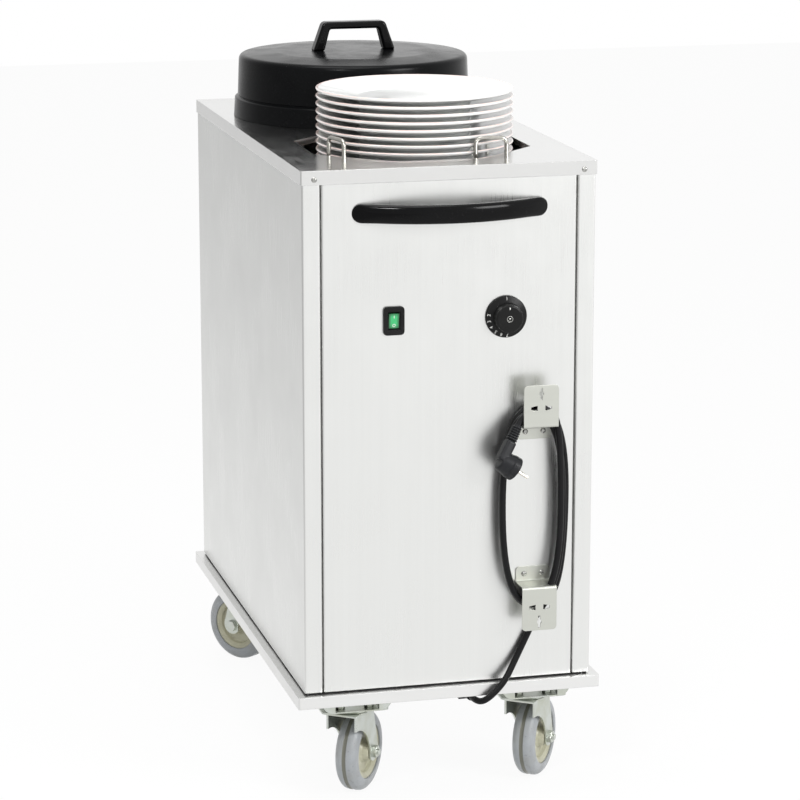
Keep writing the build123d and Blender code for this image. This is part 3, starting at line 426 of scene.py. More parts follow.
def dark_steel(name, colour, tint, rough):
    """Plain or heat-tinted steel inside the cabinet."""
    finish = Finish(name, Metallic=1.0)
    marks = finish.group(handled_marks, Smudge_Size=22.0)
    edges = finish.group(edge_highlight_and_rounding, Edge_Radius=0.001)
    base = finish.mix(marks["Smudge"], colour, tint)
    # Painted highlight: the edges are lightened towards light grey
    finish.set("Base Color", finish.mix(finish.math("MULTIPLY", edges["Edge"], 0.4), base, (0.8, 0.8, 0.8)))
    finish.set("Roughness", mapped(finish.tree, marks["Smudge"], 0, 1, rough, rough + 0.12))
    finish.set("Normal", edges["Soft Normal"])
    return finish.material


def coiled_spring():
    """Spring wire seen as close turns: rings along the height, with painted shade between the turns and a
    painted highlight on them.
    """
    wire_pitch = 0.0018
    finish = Finish("spring wire with painted turn shade", Metallic=1.0)
    height = add(finish.tree, "ShaderNodeSeparateXYZ", {"Vector": finish.place}).outputs["Z"]
    turn = finish.math("SINE", finish.math("MULTIPLY", height, 2 * math.pi / wire_pitch), 0.0)
    marks = finish.group(handled_marks, Smudge_Size=40.0)
    # Painted shade and highlight: dark bands between the turns, light bands on them
    finish.set("Base Color", finish.mix(mapped(finish.tree, turn, -1, 1),
                                        (0.16, 0.16, 0.16), (0.62, 0.62, 0.6)))
    finish.set("Roughness", mapped(finish.tree, marks["Smudge"], 0, 1, 0.3, 0.45))
    finish.bump(turn, 0.9, 0.0009)
    return finish.material


def black_moulding(name, colour, rough, pebble, pebble_height, shine=0.16, edge=0.0):
    """Black moulded plastic or rubber: satin or glossy, with a fine skin, faint greying, and a painted
    highlight on the edges when an edge radius is given.
    """
    finish = Finish(name, Specular_IOR_Level=shine)
    skin = finish.group(moulded_skin, Pebble_Size=pebble)
    marks = finish.group(handled_marks, Smudge_Size=16.0)
    lighter = tuple(channel * 1.6 + 0.002 for channel in colour)
    base = finish.mix(finish.math("MULTIPLY", skin["Shade"], 0.6), colour, lighter)
    base = finish.mix(finish.math("MULTIPLY", marks["Speck"], 0.015), base, (0.25, 0.25, 0.25))
    normal = None
    if edge:
        edges = finish.group(edge_highlight_and_rounding, Edge_Radius=edge)
        # Painted highlight: the edges are lightened towards grey
        base = finish.mix(finish.math("MULTIPLY", edges["Edge"], 0.10), base, (0.20, 0.20, 0.20))
        normal = edges["Soft Normal"]
    finish.set("Base Color", base)
    finish.set("Roughness", mapped(finish.tree, marks["Smudge"], 0, 1, rough, rough + 0.10))
    finish.bump(skin["Height"], 0.3, pebble_height, normal)
    return finish.material


def porcelain():
    """White glazed porcelain with a thin pale red line round the rim."""
    inner_edge, outer_edge, lower_edge = (0.1462, 0.1472), (0.1516, 0.1510), (0.0240, 0.0248)
    finish = Finish("white porcelain", Specular_IOR_Level=0.6, Coat_Weight=0.6, Coat_Roughness=0.10)
    parts = add(finish.tree, "ShaderNodeSeparateXYZ", {"Vector": finish.place}).outputs
    flat = add(finish.tree, "ShaderNodeCombineXYZ", {"X": parts["X"], "Y": parts["Y"], "Z": 0.0}).outputs[0]
    radius = add(finish.tree, "ShaderNodeVectorMath", {0: flat}, operation="LENGTH").outputs["Value"]
    past_inner = mapped(finish.tree, radius, *inner_edge)
    within_outer = mapped(finish.tree, radius, *outer_edge)
    above_lower = mapped(finish.tree, parts["Z"], *lower_edge)
    line = finish.math("MULTIPLY", finish.math("MULTIPLY", past_inner, within_outer), above_lower)
    marks = finish.group(handled_marks, Smudge_Size=18.0)
    worn = finish.math("MULTIPLY", line, mapped(finish.tree, marks["Smudge"], 0, 1, 0.42, 0.15))
    glaze = finish.mix(finish.math("MULTIPLY", marks["Smudge"], 0.5),
                       (0.90, 0.91, 0.90), (0.86, 0.875, 0.865))
    finish.set("Base Color", finish.mix(worn, glaze, (0.78, 0.30, 0.20)))
    finish.set("Roughness", mapped(finish.tree, marks["Smudge"], 0, 1, 0.16, 0.26))
    skin = finish.group(moulded_skin, Pebble_Size=60.0)
    finish.bump(skin["Height"], 0.06, 0.0004)
    return finish.material


def grey_tyre():
    """Grey rubber tyre: bluish grey sides, painted shade darkening the groove, scuffs on the tread."""
    groove_shade_edge = (0.0036, 0.0026)
    finish = Finish("grey tyre rubber", Specular_IOR_Level=0.45)
    parts = add(finish.tree, "ShaderNodeSeparateXYZ", {"Vector": finish.place}).outputs
    from_middle = finish.math("ABSOLUTE", parts["Z"], 0.0)
    # Mask of the painted shade in the groove round the tread's middle
    groove_shade = mapped(finish.tree, from_middle, *groove_shade_edge)
    marks = finish.group(handled_marks, Smudge_Size=45.0)
    skin = finish.group(moulded_skin, Pebble_Size=700.0)
    sides = finish.mix(skin["Shade"], (0.30, 0.32, 0.34), (0.37, 0.385, 0.40))
    sides = finish.mix(finish.math("MULTIPLY", marks["Smudge"], 0.4), sides, (0.27, 0.27, 0.25))
    # Painted shade: the groove is darkened
    base = finish.mix(groove_shade, sides, (0.16, 0.16, 0.13))
    base = finish.mix(finish.math("MULTIPLY", marks["Speck"], 0.4), base, (0.08, 0.08, 0.07))
    finish.set("Base Color", base)
    finish.set("Roughness", mapped(finish.tree, marks["Smudge"], 0, 1, 0.30, 0.50))
    finish.bump(skin["Height"], 0.25, 0.0003)
    return finish.material


def cream_core():
    """Cream plastic of the wheel core, with random tone and darker smudges."""
    finish = Finish("cream wheel plastic", Specular_IOR_Level=0.5)
    marks = finish.group(handled_marks, Smudge_Size=50.0)
    skin = finish.group(moulded_skin, Pebble_Size=500.0)
    base = finish.mix(skin["Shade"], (0.44, 0.43, 0.31), (0.53, 0.52, 0.40))
    base = finish.mix(finish.math("MULTIPLY", marks["Smudge"], 0.4), base, (0.30, 0.28, 0.19))
    finish.set("Base Color", base)
    finish.set("Roughness", mapped(finish.tree, marks["Smudge"], 0, 1, 0.32, 0.48))
    finish.bump(skin["Height"], 0.2, 0.0002)
    return finish.material


def lit_green():
    """Green see-through plastic of the rocker, lit from inside."""
    side_fade, end_fade = (0.0080, 0.0035), (0.0125, 0.0060)
    finish = Finish("lit green plastic", Specular_IOR_Level=0.6, Coat_Weight=0.5, Coat_Roughness=0.08,
                    Emission_Strength=0.26)
    parts = add(finish.tree, "ShaderNodeSeparateXYZ", {"Vector": finish.place}).outputs
    across = mapped(finish.tree, finish.math("ABSOLUTE", parts["X"], 0.0), *side_fade)
    along = mapped(finish.tree, finish.math("ABSOLUTE", parts["Z"], 0.0), *end_fade)
    glow = finish.math("MULTIPLY", across, along)
    marks = finish.group(handled_marks, Smudge_Size=120.0)
    uneven = finish.math("MULTIPLY", glow, mapped(finish.tree, marks["Smudge"], 0, 1, 1.0, 0.7))
    finish.set("Base Color", finish.mix(glow, (0.002, 0.040, 0.012), (0.010, 0.30, 0.09)))
    finish.set("Emission Color", finish.mix(uneven, (0.0, 0.03, 0.008), (0.09, 0.75, 0.27)))
    finish.set("Roughness", mapped(finish.tree, marks["Smudge"], 0, 1, 0.16, 0.26))
    return finish.material


def printed_white():
    """White print on the dial and the switch."""
    finish = Finish("white print", Specular_IOR_Level=0.3)
    marks = finish.group(handled_marks, Smudge_Size=400.0)
    finish.set("Base Color", finish.mix(marks["Smudge"], (0.78, 0.78, 0.76), (0.60, 0.60, 0.58)))
    finish.set("Roughness", mapped(finish.tree, marks["Smudge"], 0, 1, 0.45, 0.6))
    return finish.material


panel_steel = steel_sheet("brushed stainless panels", (900, 900, 9), (0.80, 0.805, 0.79), 0.27)
worktop_steel = steel_sheet("brushed stainless worktop", (900, 9, 900), (0.80, 0.80, 0.79), 0.15)
tray_steel = steel_sheet("brushed stainless tray", (9, 900, 900), (0.82, 0.82, 0.81), 0.30)
hook_steel = steel_sheet("satin hook steel", (9, 700, 700), (0.60, 0.61, 0.56), 0.33, 0.0008)
screw_steel = steel_sheet("bright screw steel", (300, 300, 300), (0.46, 0.46, 0.44), 0.22, 0.0004)
bright_zinc = zinc_plate()
rod_steel = polished_rod()
lift_steel = dark_steel("lift steel", (0.55, 0.55, 0.55), (0.42, 0.42, 0.41), 0.34)
heater_steel = dark_steel("heat-tinted steel", (0.30, 0.25, 0.19), (0.16, 0.14, 0.16), 0.40)
spring_wire_painted_turns = coiled_spring()
gloss_black = black_moulding("gloss black handle", (0.0012, 0.0012, 0.0014), 0.09, 260.0, 0.00003, 0.15)
lid_black = black_moulding("satin black lid", (0.0020, 0.0022, 0.0025), 0.20, 190.0, 0.00008, 0.10)
satin_black = black_moulding("satin black plastic", (0.007, 0.007, 0.007), 0.30, 900.0, 0.00006, edge=0.0006)
seal_black = black_moulding("black seal rubber", (0.006, 0.006, 0.006), 0.55, 700.0, 0.0001)
cord_black = black_moulding("black cord rubber", (0.005, 0.005, 0.0055), 0.34, 1100.0, 0.00008)
plug_black = black_moulding("black plug rubber", (0.010, 0.0105, 0.012), 0.32, 1100.0, 0.00006, 0.22, 0.0007)
white_porcelain = porcelain()
tyre_grey = grey_tyre()
core_cream = cream_core()
rocker_green = lit_green()
print_white = printed_white()
pin_nickel = dark_steel("nickel plated pins", (0.86, 0.82, 0.75), (0.74, 0.70, 0.62), 0.14)

paint(panel_steel, "left_panel", "right_panel", "front_panel", "rear_panel")
paint(worktop_steel, "worktop")
paint(tray_steel, "base_tray")
paint(seal_black, "base_seal")
paint(hook_steel, "upper_cord_hook", "lower_cord_hook")
paint(bright_zinc, "castor_brackets", "castor_plates", "castor_bolts")
paint(bright_zinc, *[name + part for name in castor_names for part in ("_fork", "_axle")])
paint(rod_steel, *[stack + "_guide_" + str(index) for stack in stack_names for index in range(1, 5)])
paint(lift_steel, "front_lift_frame", "rear_lift_frame", "front_carrier", "rear_carrier")
paint(spring_wire_painted_turns, "front_lift_springs", "rear_lift_springs")
paint(heater_steel, "heating_elements")
paint(satin_black, "thermostat_body", "cable_gland")
paint(pin_nickel, "plug_pins")


# Stack of plates: one turned shape with a rounded rim and a foot ring, ten times

plate_low, plate_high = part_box("plates")
plate_count = 10
plate_height = 0.026
plate_wall = 0.0042
plate_pitch = (plate_high.z - plate_low.z - plate_height) / (plate_count - 1)
plate_radius = (plate_high.x - plate_low.x) / 2
foot_radius = 0.085
foot_rise = plate_pitch - plate_wall


def plate_outline():
    """Half section of a plate, from the middle below, round the rim, to the middle above."""
    return rounded_outline([
        (0, foot_rise, 0), (foot_radius - 0.006, foot_rise, 0.0006), (foot_radius - 0.005, 0, 0.0008),
        (foot_radius, 0, 0.0015), (foot_radius + 0.004, foot_rise, 0.004),
        (plate_radius - 0.002, plate_height - 0.0045, 0.0015), (plate_radius, plate_height - 0.0016, 0.0016),
        (plate_radius - 0.0015, plate_height, 0.0012), (plate_radius - 0.006, plate_height - 0.001, 0.003),
        (foot_radius + 0.002, plate_pitch, 0.012), (0, plate_pitch, 0),
    ], 5)


def plate_stack():
    """The plates on the front carrier, which share one mesh."""
    centre = (plate_low + plate_high) / 2
    first = None
    for index in range(plate_count):
        place = Matrix.Translation((centre.x, centre.y, plate_low.z + index * plate_pitch))
        if first is None:
            piece = revolved("plate_1", plate_outline(), place, 128)
            first = piece
        else:
            piece = new_object("plate_" + str(index + 1), first.data)
            piece.matrix_world = place
        dress(piece, white_porcelain, "front_carrier", ["plates"] if index == 0 else ())


plate_stack()


# Lid: turned shell with a stepped skirt, and its bow handle

def lid_shell():
    """Lid with a nearly flat top, a tight shoulder and a low step above its skirt."""
    low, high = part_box("lid")
    skirt = 0.1952
    body = 0.1884
    tall = lid_crown
    step = 0.030
    wall = 0.003
    outline = rounded_outline([
        (0, tall, 0), (body - 0.060, tall - 0.0010, 0.05), (body - 0.0025, tall - 0.0060, 0.010),
        (body, step + 0.0040, 0.002), (body - 0.0012, step + 0.0022, 0.0008),
        (skirt - 0.0020, step - 0.0006, 0.003), (skirt - 0.0004, 0.0016, 0.004), (skirt, 0, 0.0006),
        (skirt - wall, 0, 0.0006), (skirt - 0.002 - wall, step - wall, 0.003),
        (body - wall, step - 0.001, 0.003), (body - 0.0025 - wall, tall - 0.0060 - wall, 0.008),
        (0, tall - wall, 0),
    ], 8)
    centre = (low + high) / 2
    piece = revolved("lid_shell", outline, Matrix.Translation((centre.x, centre.y, low.z)), 160)
    return dress(piece, lid_black, "lid", ["lid"])


def lid_grip():
    """Raised handle of the lid, with splayed legs and soft edges."""
    low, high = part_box("lid_handle")
    sunk = 0.001
    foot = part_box("lid")[0].z + lid_crown - sunk
    half_base = (high.x - low.x) / 2
    half_top = 0.0505
    leg_foot = 0.019
    leg_top = 0.010
    tall = high.z - foot
    bar = 0.012
    outline = rounded_outline([
        (-half_base, 0, 0), (-half_top - 0.001, tall, 0.010), (half_top + 0.001, tall, 0.010),
        (half_base, 0, 0), (half_base - leg_foot, 0, 0), (half_top - leg_top, tall - bar, 0.005),
        (-half_top + leg_top, tall - bar, 0.005), (-half_base + leg_foot, 0, 0),
    ], 6, closed=True)
    place = axes_frame(((low.x + high.x) / 2, high.y, foot), (0, -1, 0))
    piece = prism("lid_grip", outline, high.y - low.y, place, 0.0042, 4)
    return dress(piece, gloss_black, "lid", ["lid_handle"])


lid_shell()
lid_grip()


# Push handle: a bow drawn out from one pad to the other with a rounded section

def push_bow():
    """Bow handle whose section swells from a flat pad to a rounded bar."""
    low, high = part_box("push_handle")
    half_length = (high.x - low.x) / 2
    reach = high.y - low.y
    half_bar = (high.z - low.z) / 2
    thickness = 0.016
    pad = 0.034
    squareness = 0.62
    stations = 72
    around = 28
    centre = (low + high) / 2

    def arc(x, half_chord, rise):
        """Height of a flat arc over its chord."""
        radius = (half_chord ** 2 + rise ** 2) / (2 * rise)
        return math.sqrt(max(radius ** 2 - x ** 2, 0)) - (radius - rise)

    vertices = []
    for station in range(stations + 1):
        turn = math.pi * station / stations
        x = -half_length * math.cos(turn)
        outer = max(arc(x, half_length, reach), 0.0)
        inner_chord = half_length - pad
        inner = arc(x, inner_chord, reach - thickness) if abs(x) < inner_chord else 0.0
        from_end = half_length - abs(x)
        rounding = min(from_end / half_bar, 1.0)
        half_height = half_bar * math.sqrt(max(rounding * (2 - rounding), 0.0))
        for step in range(around):
            angle = 2 * math.pi * step / around
            out = math.copysign(abs(math.cos(angle)) ** squareness, math.cos(angle))
            up = math.copysign(abs(math.sin(angle)) ** squareness, math.sin(angle))
            y = high.y - (outer + inner) / 2 - out * (outer - inner) / 2
            vertices.append((centre.x + x, y, centre.z + up * half_height))
    faces = []
    for station in range(stations):
        for step in range(around):
            after = (step + 1) % around
            faces.append((station * around + step, station * around + after,
                          (station + 1) * around + after, (station + 1) * around + step))
    piece = mesh_object("push_bow", vertices, faces, 60)
    return dress(piece, gloss_black, "cabinet", ["push_handle"])


push_bow()


# Switch: rounded frame with the lit rocker in it

def switch_bezel():
    """Black frame of the switch with a stepped inner edge."""
    low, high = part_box("switch_frame")
    width, height = high.x - low.x, high.z - low.z
    corner = 0.0065
    opening_size = (0.0168, 0.0258)
    step_size = (0.0200, 0.0290)
    step_floor = 0.0024
    housing_size = (0.026, 0.036)
    housing_depth = 0.020
    housing_back = 0.0255
    cutter_depth = 0.02
    place = axes_frame(((low.x + high.x) / 2, panel_y, (low.z + high.z) / 2), (0, -1, 0))
    piece = prism("switch_bezel", rectangle(width, height, corner), panel_y - low.y, place)
    opening = prism("opening", rectangle(*opening_size, 0.0006), cutter_depth,
                    place @ Matrix.Translation((0, 0, -0.004)))
    step = prism("step", rectangle(*step_size, 0.0015), cutter_depth,
                 place @ Matrix.Translation((0, 0, step_floor)))
    cut(piece, [opening, step])
    bevel = piece.modifiers.new("soft edges", "BEVEL")
    bevel.width = 0.0009
    bevel.segments = 3
    bevel.angle_limit = math.radians(40)
    housing = prism("switch_housing", rectangle(*housing_size, 0.0008), housing_depth,
                    place @ Matrix.Translation((0, 0, -housing_back)), 0.0005, 2)
    dress(housing, satin_black, "cabinet")
    return dress(piece, satin_black, "cabinet", ["switch_frame"])


def lit_rocker():
    """Rocker cap with a shallow valley across it, tipped as it is when on."""
    joint = joint_of["rocker_tilt"]
    pivot = Vector(joint["pos_m"])
    half = 0.0118
    cap_width = 0.016
    on_tilt = math.radians(7)
    mark_front = 0.0028
    mark_height = 0.0065
    outline = rounded_outline([
        (-0.0070, -0.0040, 0), (-0.0020, -half + 0.0010, 0.001), (0.0030, -half + 0.0004, 0.0008),
        (0.0022, 0, 0.02), (0.0030, half - 0.0004, 0.0008), (-0.0020, half - 0.0010, 0.001),
        (-0.0070, 0.0040, 0),
    ], 5, closed=True)
    place = axes_frame(pivot, (1, 0, 0), (0, -1, 0))
    tip = Matrix.Translation(pivot) @ Matrix.Rotation(on_tilt, 4, "X") @ Matrix.Translation(-pivot)
    piece = prism("lit_rocker", outline, cap_width,
                  tip @ place @ Matrix.Translation((0, 0, -cap_width / 2)), 0.0005, 2)
    bake_modifiers(piece)
    piece.data.transform(Matrix.Translation(-pivot) @ piece.matrix_world)
    piece.matrix_world = Matrix.Translation(pivot)
    dress(piece, rocker_green, "rocker", ["rocker"])
    bar = prism("rocker_mark_on", rectangle(0.0009, 0.0042, 0.0002), 0.0002,
                tip @ axes_frame(pivot + Vector((0, -mark_front, mark_height)), (0, -1, 0)))
    dress(bar, print_white, "rocker")
    ring = revolved("rocker_mark_off", rounded_outline([
        (0.0016, 0, 0), (0.0024, 0, 0), (0.0024, 0.0002, 0), (0.0016, 0.0002, 0), (0.0016, 0, 0)]),
        tip @ axes_frame(pivot + Vector((0, -mark_front, -mark_height)), (0, -1, 0)), 24)
    dress(ring, print_white, "rocker")


switch_bezel()
lit_rocker()


# Thermostat knob: sloped skirt with plain numbers, round grip, silver ring and stud, pointer

def thermostat_knob():
    """Knob of the thermostat, with its print."""
    low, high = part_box("knob")
    centre = (low + high) / 2
    tall = panel_y - low.y
    place = axes_frame((centre.x, panel_y, centre.z), (0, -1, 0))
    skirt = (high.x - low.x) / 2
    grip = 0.022
    outline = rounded_outline([
        (0, 0.0012, 0), (skirt - 0.0010, 0.0010, 0.0004), (skirt, 0.0016, 0.0006),
        (skirt - 0.0006, 0.0036, 0.0010), (grip + 0.0016, 0.0058, 0.0010), (grip, 0.0062, 0.0008),
        (grip - 0.0014, tall - 0.0012, 0.0018), (grip - 0.0040, tall - 0.0002, 0.0012),
        (0.0052, tall - 0.0004, 0.0004), (0.0050, tall - 0.0020, 0.0002), (0, tall - 0.0020, 0),
    ], 4)
    body = revolved("knob_body", outline, place, 96)
    dress(body, satin_black, "knob", ["knob"])
    ring = revolved("knob_rim", rounded_outline([
        (0.0036, tall - 0.0020, 0), (0.0038, tall, 0.0004),
        (0.0048, tall, 0.0004), (0.0050, tall - 0.0020, 0),
    ], 4), place, 48)
    dress(ring, screw_steel, "knob", ["knob_ring"])
    stud = revolved("knob_stud", rounded_outline([
        (0, tall - 0.0002, 0), (0.0014, tall - 0.0003, 0.0006), (0.0018, tall - 0.0020, 0)], 4), place, 32)
    dress(stud, screw_steel, "knob")
    pointer = prism("knob_pointer", rectangle(0.0014, 0.0034, 0.0003), 0.0002,
                    place @ Matrix.Translation((0, grip - 0.0062, tall - 0.0002)))
    dress(pointer, print_white, "knob")
    dial_angles = [90, 172, 192, 212, 232, 252, 272]
    dial_slope = math.radians(-13)
    number_size = 0.0072
    number_thickness = 0.00008
    for index, angle in enumerate(dial_angles):
        turn = math.radians(angle)
        number = bpy.data.curves.new("dial_number", "FONT")
        number.body = str(index + 1)
        number.size = number_size
        number.align_x = "CENTER"
        number.align_y = "CENTER"
        number.extrude = number_thickness
        piece = new_object("dial_number_" + str(index + 1), number)
        radius = (skirt + grip) / 2 + 0.0006
        spot = Matrix.Translation((radius * math.cos(turn), radius * math.sin(turn), 0.0050))
        upright = Matrix.Rotation(turn - math.pi / 2, 4, "Z")
        piece.matrix_world = place @ spot @ upright @ Matrix.Rotation(dial_slope, 4, "X")
        dress(piece, print_white, "knob")


thermostat_knob()


# Pan-head screws with a cross recess

def pan_screw(name, spot, out, radius=0.0042, tall=0.0022):
    """Low domed screw head that faces out."""
    place = axes_frame(spot, (0, out, 0))
    head = revolved(name, rounded_outline([
        (0, tall, 0), (radius * 0.62, tall - 0.0003, 0.002), (radius, 0.0006, 0.0012),
        (radius, 0, 0), (0, 0, 0),
    ], 5), place, 40)
    slot_width, slot_length, slot_depth = 0.0014, 0.0050, 0.0013
    cross = []
    for width, height in ((slot_width, slot_length), (slot_length, slot_width)):
        cross.append(prism("cross", rectangle(width, height), 0.004,
                           place @ Matrix.Translation((0, 0, tall - slot_depth))))
    cut(head, cross)
    head.data.set_sharp_from_angle(angle=math.radians(40))
    dress(head, screw_steel, "cabinet")
    return head


def all_screws():
    """Screws of the worktop's folds and of the two hooks."""
    inset = 0.004
    low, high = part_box("worktop_screws")
    made = []
    for x in (low.x + inset, high.x - inset):
        for y, out in ((front_y, -1), (worktop_high.y, 1)):
            spot = (x, y, (low.z + high.z) / 2)
            made.append(pan_screw("worktop_screw_" + str(len(made) + 1), spot, out))
    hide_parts("worktop_screws")
    low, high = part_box("hook_screws")
    for x in (low.x + inset, high.x - inset):
        for z in (low.z + inset, high.z - inset):
            made.append(pan_screw("hook_screw_" + str(len(made) - 3), (x, high.y, z), -1))
    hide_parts("hook_screws")


all_screws()


# Wheels: turned tyre with a groove round its middle, and turned core with its dish

def castor_wheel(name):
    """Tyre and core of one castor, about its axle."""
    joint = joint_of[name + "_wheel_spin"]
    place = axes_frame(Vector(joint["pos_m"]), Vector(joint["axis"]), (0, 0, 1))
    radius = 0.0625
    bore = 0.0435
    half = 0.018
    groove = 0.0028
    side = [(bore, half - 0.0010, 0), (bore + 0.0015, half - 0.0002, 0.001), (bore + 0.003, half, 0.002),
            (radius - 0.0070, half - 0.0010, 0.0120), (radius - 0.0005, half - 0.0075, 0.0160),
            (radius, groove + 0.0010, 0.004), (radius - 0.0001, groove, 0.0005),
            (radius - 0.0010, groove - 0.0006, 0.0005)]
    mirrored = [(r, -z, bend) for r, z, bend in reversed(side)]
    tyre = revolved(name + "_tyre_rubber", rounded_outline(side + mirrored + side[:1], 7), place, 128)
    dress(tyre, tyre_grey, name + "_wheel", [name + "_tyre"])
    hub = 0.0205
    face = [(0.0052, hub, 0), (0.0135, hub, 0.0008), (0.0168, hub - 0.0088, 0.002),
            (0.0200, 0.0080, 0.002), (0.0330, 0.0068, 0.002), (0.0350, 0.0120, 0.0015),
            (0.0395, 0.0148, 0.001), (0.0434, 0.0150, 0.0005)]
    back = [(r, -z, bend) for r, z, bend in reversed(face)]
    core = revolved(name + "_wheel_hub", rounded_outline(face + back + face[:1], 5), place, 96)
    dress(core, core_cream, name + "_wheel", [name + "_wheel_core"])


for castor_name in castor_names:
    castor_wheel(castor_name)


# Supply cord: one line from the gland round the hooks to the plug's neck

def cord_spot(x, stand_off, z):
    """A point of the route: x, distance in front of the cabinet, height above the tray, all in mm."""
    return Vector((x / 1000, front_y - stand_off / 1000, tray_top + z / 1000))


neck_direction = Vector((-0.511, -0.249, -0.823)).normalized()
neck_start = cord_spot(96.5, 31.5, 406)
cord_route = [
    cord_spot(40, -16, -27), cord_spot(40, 2, -27), cord_spot(48, 18, -26), cord_spot(64, 21, -14),
    cord_spot(84, 18, 6), cord_spot(99, 10, 30), cord_spot(112, 6.4, 54), cord_spot(123, 5.4, 76),
    cord_spot(138, 4.036, 106), cord_spot(180, 4, 158), cord_spot(180, 5, 428), cord_spot(79, 5, 428),
    cord_spot(79, 14.8, 122), cord_spot(173, 14.8, 122), cord_spot(173, 16, 421), cord_spot(76.5, 16, 421),
    cord_spot(76.5, 26, 128), cord_spot(166, 26, 128), cord_spot(166, 27.5, 419), cord_spot(134, 28, 421),
    cord_spot(116, 28.28, 422.125), neck_start - neck_direction * 0.014, neck_start,
]


def supply_cord():
    """The cord as one smooth curve with a round section."""
    line = bpy.data.curves.new("supply_cord", "CURVE")
    line.dimensions = "3D"
    line.bevel_depth = cord_diameter / 2
    line.bevel_resolution = 6
    line.use_fill_caps = True
    spline = line.splines.new("NURBS")
    spline.points.add(len(cord_route) - 1)
    for point, spot in zip(spline.points, cord_route):
        point.co = (*spot, 1)
    spline.order_u = 3
    spline.use_endpoint_u = True
    spline.resolution_u = 14
    piece = new_object("supply_cord", line)
    return dress(piece, cord_black, "cabinet", ["cord_lead", "cord_hank", "cord_tail"])


# Angled plug: moulded shell with grip bars, and its ribbed neck

def moulded_plug():
    """Plug body made as one moulded skin over its parts, and the ribbed neck."""
    face_direction = Vector((0.82, 0, -0.572)).normalized()
    face_centre = cord_spot(89.9, 43, 341.8)
    body_place = axes_frame(face_centre, face_direction, (0, 1, 0))
    neck_place = axes_frame(neck_start, neck_direction, (0, 1, 0))
    radius = 0.0186
    arm_size = (0.0205, 0.0158)
    arm_start, arm_length = 0.0262, 0.033
    ribs, rib_start, rib_pitch = 6, 0.0030, 0.0038
    rib_radius, rib_growth = 0.0074, 0.00028
    neck_radius, neck_length = 0.0082, 0.0300
    grip_rows, grip_start, grip_pitch, grip_side = 4, -0.0035, 0.0030, 0.0166
    drum = revolved("plug_shell", rounded_outline([
        (0, -0.0295, 0), (0.0145, -0.0292, 0.004), (radius - 0.0008, -0.0130, 0.004),
        (radius, -0.0105, 0.001), (radius, -0.0008, 0.001), (radius - 0.0010, -0.0002, 0.0006),
        (0.0140, -0.0002, 0.0004), (0.0136, -0.0012, 0.0004), (0, -0.0012, 0),
    ], 5), body_place, 72)
    arm = prism("plug_arm", rectangle(*arm_size, 0.0050, 6), arm_length,
                neck_place @ Matrix.Translation((0, 0, arm_start)), 0.0025, 4)
    bake_modifiers(arm)
    joined = drum.modifiers.new("arm", "BOOLEAN")
    joined.operation = "UNION"
    joined.solver = "EXACT"
    joined.object = arm
    skin = drum.modifiers.new("skin", "REMESH")
    skin.mode = "VOXEL"
    skin.voxel_size = 0.0007
    soften = drum.modifiers.new("soften", "SMOOTH")
    soften.factor = 0.5
    soften.iterations = 4
    bake_modifiers(drum)
    bpy.data.objects.remove(arm)
    drum.data.shade_smooth()
    dress(drum, plug_black, "cabinet", ["plug"])
    neck_outline = [(0, -0.0005, 0), (0.0062, -0.0005, 0.001)]
    for rib in range(ribs):
        start = rib_start + rib * rib_pitch
        swell = rib_radius + rib * rib_growth
        neck_outline += [(0.0058, start - 0.0009, 0.0003), (swell, start - 0.0004, 0.0005),
                         (swell, start + 0.0018, 0.0005), (0.0060, start + 0.0022, 0.0003)]
    neck_outline += [(neck_radius, arm_start, 0.0008), (neck_radius, neck_length, 0), (0, neck_length, 0)]
    neck = revolved("plug_neck", rounded_outline(neck_outline, 3), neck_place, 48)
    dress(neck, plug_black, "cabinet")
    grips = []
    for side in (-1, 1):
        for row in range(grip_rows):
            height = grip_start - row * grip_pitch
            spot = body_place @ Matrix.Translation((side * grip_side, 0, height))
            bar = prism("plug_grip_" + ("left_" if side < 0 else "right_") + str(row + 1),
                        rectangle(0.0034, 0.0150, 0.0008), 0.0012, spot, 0.0004, 2)
            dress(bar, plug_black, "cabinet")
            grips.append(bar)
    return [drum, neck, *grips]


cord = supply_cord()
plug_parts = moulded_plug()


# Camera at the photograph's angle, in metres and degrees

camera_spot = (-1.1897, -4.7780, 1.6786)
camera_down = 13.034
camera_turn = 14.266
camera_data = bpy.data.cameras.new("camera")
camera_data.lens = 140.9
camera_data.sensor_width = 36
camera = new_object("camera", camera_data)
camera.location = camera_spot
camera.rotation_euler = (math.radians(90 - camera_down), 0, math.radians(-camera_turn))
bpy.context.scene.camera = camera


# Floor, lamps and surroundings

def seen_or_mirrored(tree):
    """The light path's outputs, and 1 for camera, glossy and see-through rays."""
    path = add(tree, "ShaderNodeLightPath").outputs
    first = add(tree, "ShaderNodeMath", {0: path["Is Camera Ray"], 1: path["Is Glossy Ray"]},
                operation="MAXIMUM")
    second = add(tree, "ShaderNodeMath", {0: first.outputs[0], 1: path["Is Transmission Ray"]},
                 operation="MAXIMUM")
    return path, second.outputs[0]


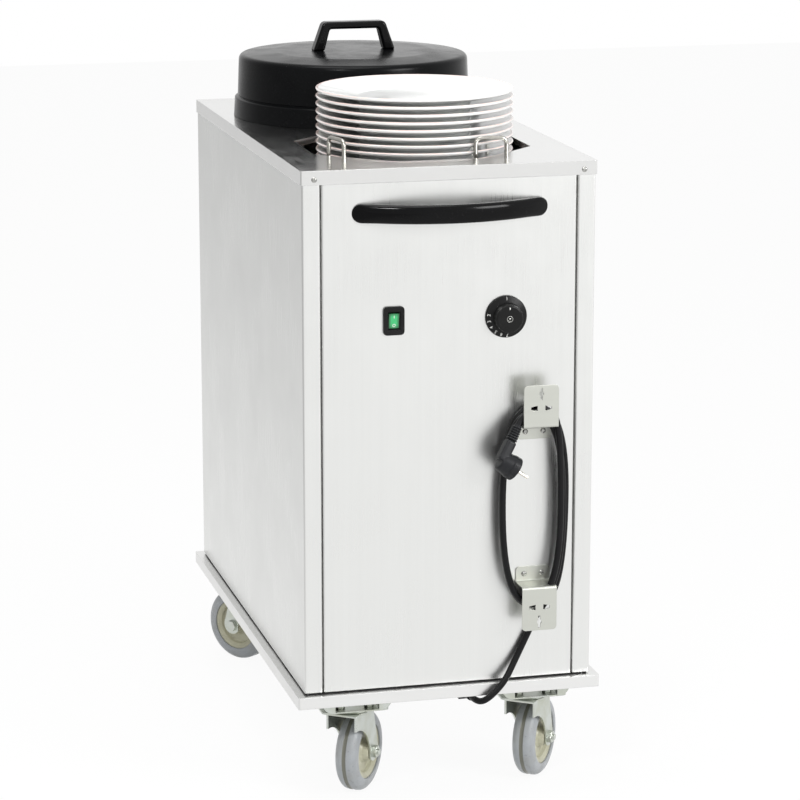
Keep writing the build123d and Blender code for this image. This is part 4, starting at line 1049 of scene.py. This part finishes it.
def pale_floor():
    """Large floor: nearly white to the eye, darker to the left where it is mirrored."""
    reach = 9
    corners = [(-reach, -reach, 0), (reach, -reach, 0), (reach, reach, 0), (-reach, reach, 0)]
    piece = mesh_object("floor", corners, [(0, 1, 2, 3)])
    material = bpy.data.materials.new("pale floor")
    material.use_nodes = True
    tree = material.node_tree
    tree.nodes.clear()
    place = add(tree, "ShaderNodeTexCoord").outputs["Object"]
    grain = scaled_noise(tree, place, 30.0, 3.0)
    tone = add(tree, "ShaderNodeMix", {0: grain, 6: (0.86, 0.86, 0.855, 1), 7: (0.90, 0.90, 0.895, 1)},
               data_type="RGBA")
    paint_layer = add(tree, "ShaderNodeBsdfDiffuse", {"Color": tone.outputs[2]})
    path, shown = seen_or_mirrored(tree)
    across = add(tree, "ShaderNodeSeparateXYZ", {"Vector": place}).outputs["X"]
    dark_x, bright_x = -2.6, -0.2
    mirrored_level = mapped(tree, across, dark_x, bright_x, mirrored_dark_side, 1.0)
    level = add(tree, "ShaderNodeMix", {0: path["Is Camera Ray"], 2: mirrored_level, 3: 1.0},
                data_type="FLOAT")
    white = add(tree, "ShaderNodeEmission", {"Color": (1, 1, 1, 1), "Strength": level.outputs[0]})
    share = add(tree, "ShaderNodeMath", {0: shown, 1: floor_white_share}, operation="MULTIPLY")
    mixed = add(tree, "ShaderNodeMixShader",
                {0: share.outputs[0], 1: paint_layer.outputs[0], 2: white.outputs[0]})
    add(tree, "ShaderNodeOutputMaterial", {"Surface": mixed.outputs[0]})
    piece.data.materials.append(material)


def surroundings():
    """World: white to the eye, darker to the left where mirrored, an even soft light elsewhere."""
    world = bpy.data.worlds.new("surroundings")
    bpy.context.scene.world = world
    world.use_nodes = True
    tree = world.node_tree
    tree.nodes.clear()
    way = add(tree, "ShaderNodeTexCoord").outputs["Generated"]
    parts = add(tree, "ShaderNodeSeparateXYZ", {"Vector": way}).outputs
    dark_way, bright_way = -0.9, 0.3
    mirrored_level = mapped(tree, parts["X"], dark_way, bright_way, mirrored_dark_side, 1.0)
    path, shown = seen_or_mirrored(tree)
    seen_level = add(tree, "ShaderNodeMix", {0: path["Is Camera Ray"], 2: mirrored_level, 3: 1.0},
                     data_type="FLOAT").outputs[0]
    strength = add(tree, "ShaderNodeMix", {0: shown, 2: soft_light_level, 3: seen_level},
                   data_type="FLOAT").outputs[0]
    light = add(tree, "ShaderNodeBackground", {"Color": (1, 1, 1, 1), "Strength": strength})
    add(tree, "ShaderNodeOutputWorld", {"Surface": light.outputs[0]})


def soft_lamp(name, spot, aim, width, height, power):
    """Rectangular soft lamp that points at a place."""
    data = bpy.data.lights.new(name, "AREA")
    data.shape = "RECTANGLE"
    data.size = width
    data.size_y = height
    data.energy = power
    lamp = new_object(name, data)
    lamp.location = spot
    lamp.rotation_euler = (Vector(aim) - Vector(spot)).to_track_quat("-Z", "Y").to_euler()


pale_floor()
surroundings()
soft_lamp("key lamp", (2.4, -3.2, 2.0), (0, 0, 0.5), 1.5, 1.3, 80)
soft_lamp("top lamp", (-0.4, -0.4, 3.4), (0, 0, 0.6), 2.0, 1.6, 42)
soft_lamp("left lamp", (-1.45, -2.55, 2.6), (-0.1, -0.4, 0.9), 0.60, 0.24, 26)
bpy.context.scene.view_settings.view_transform = "Standard"
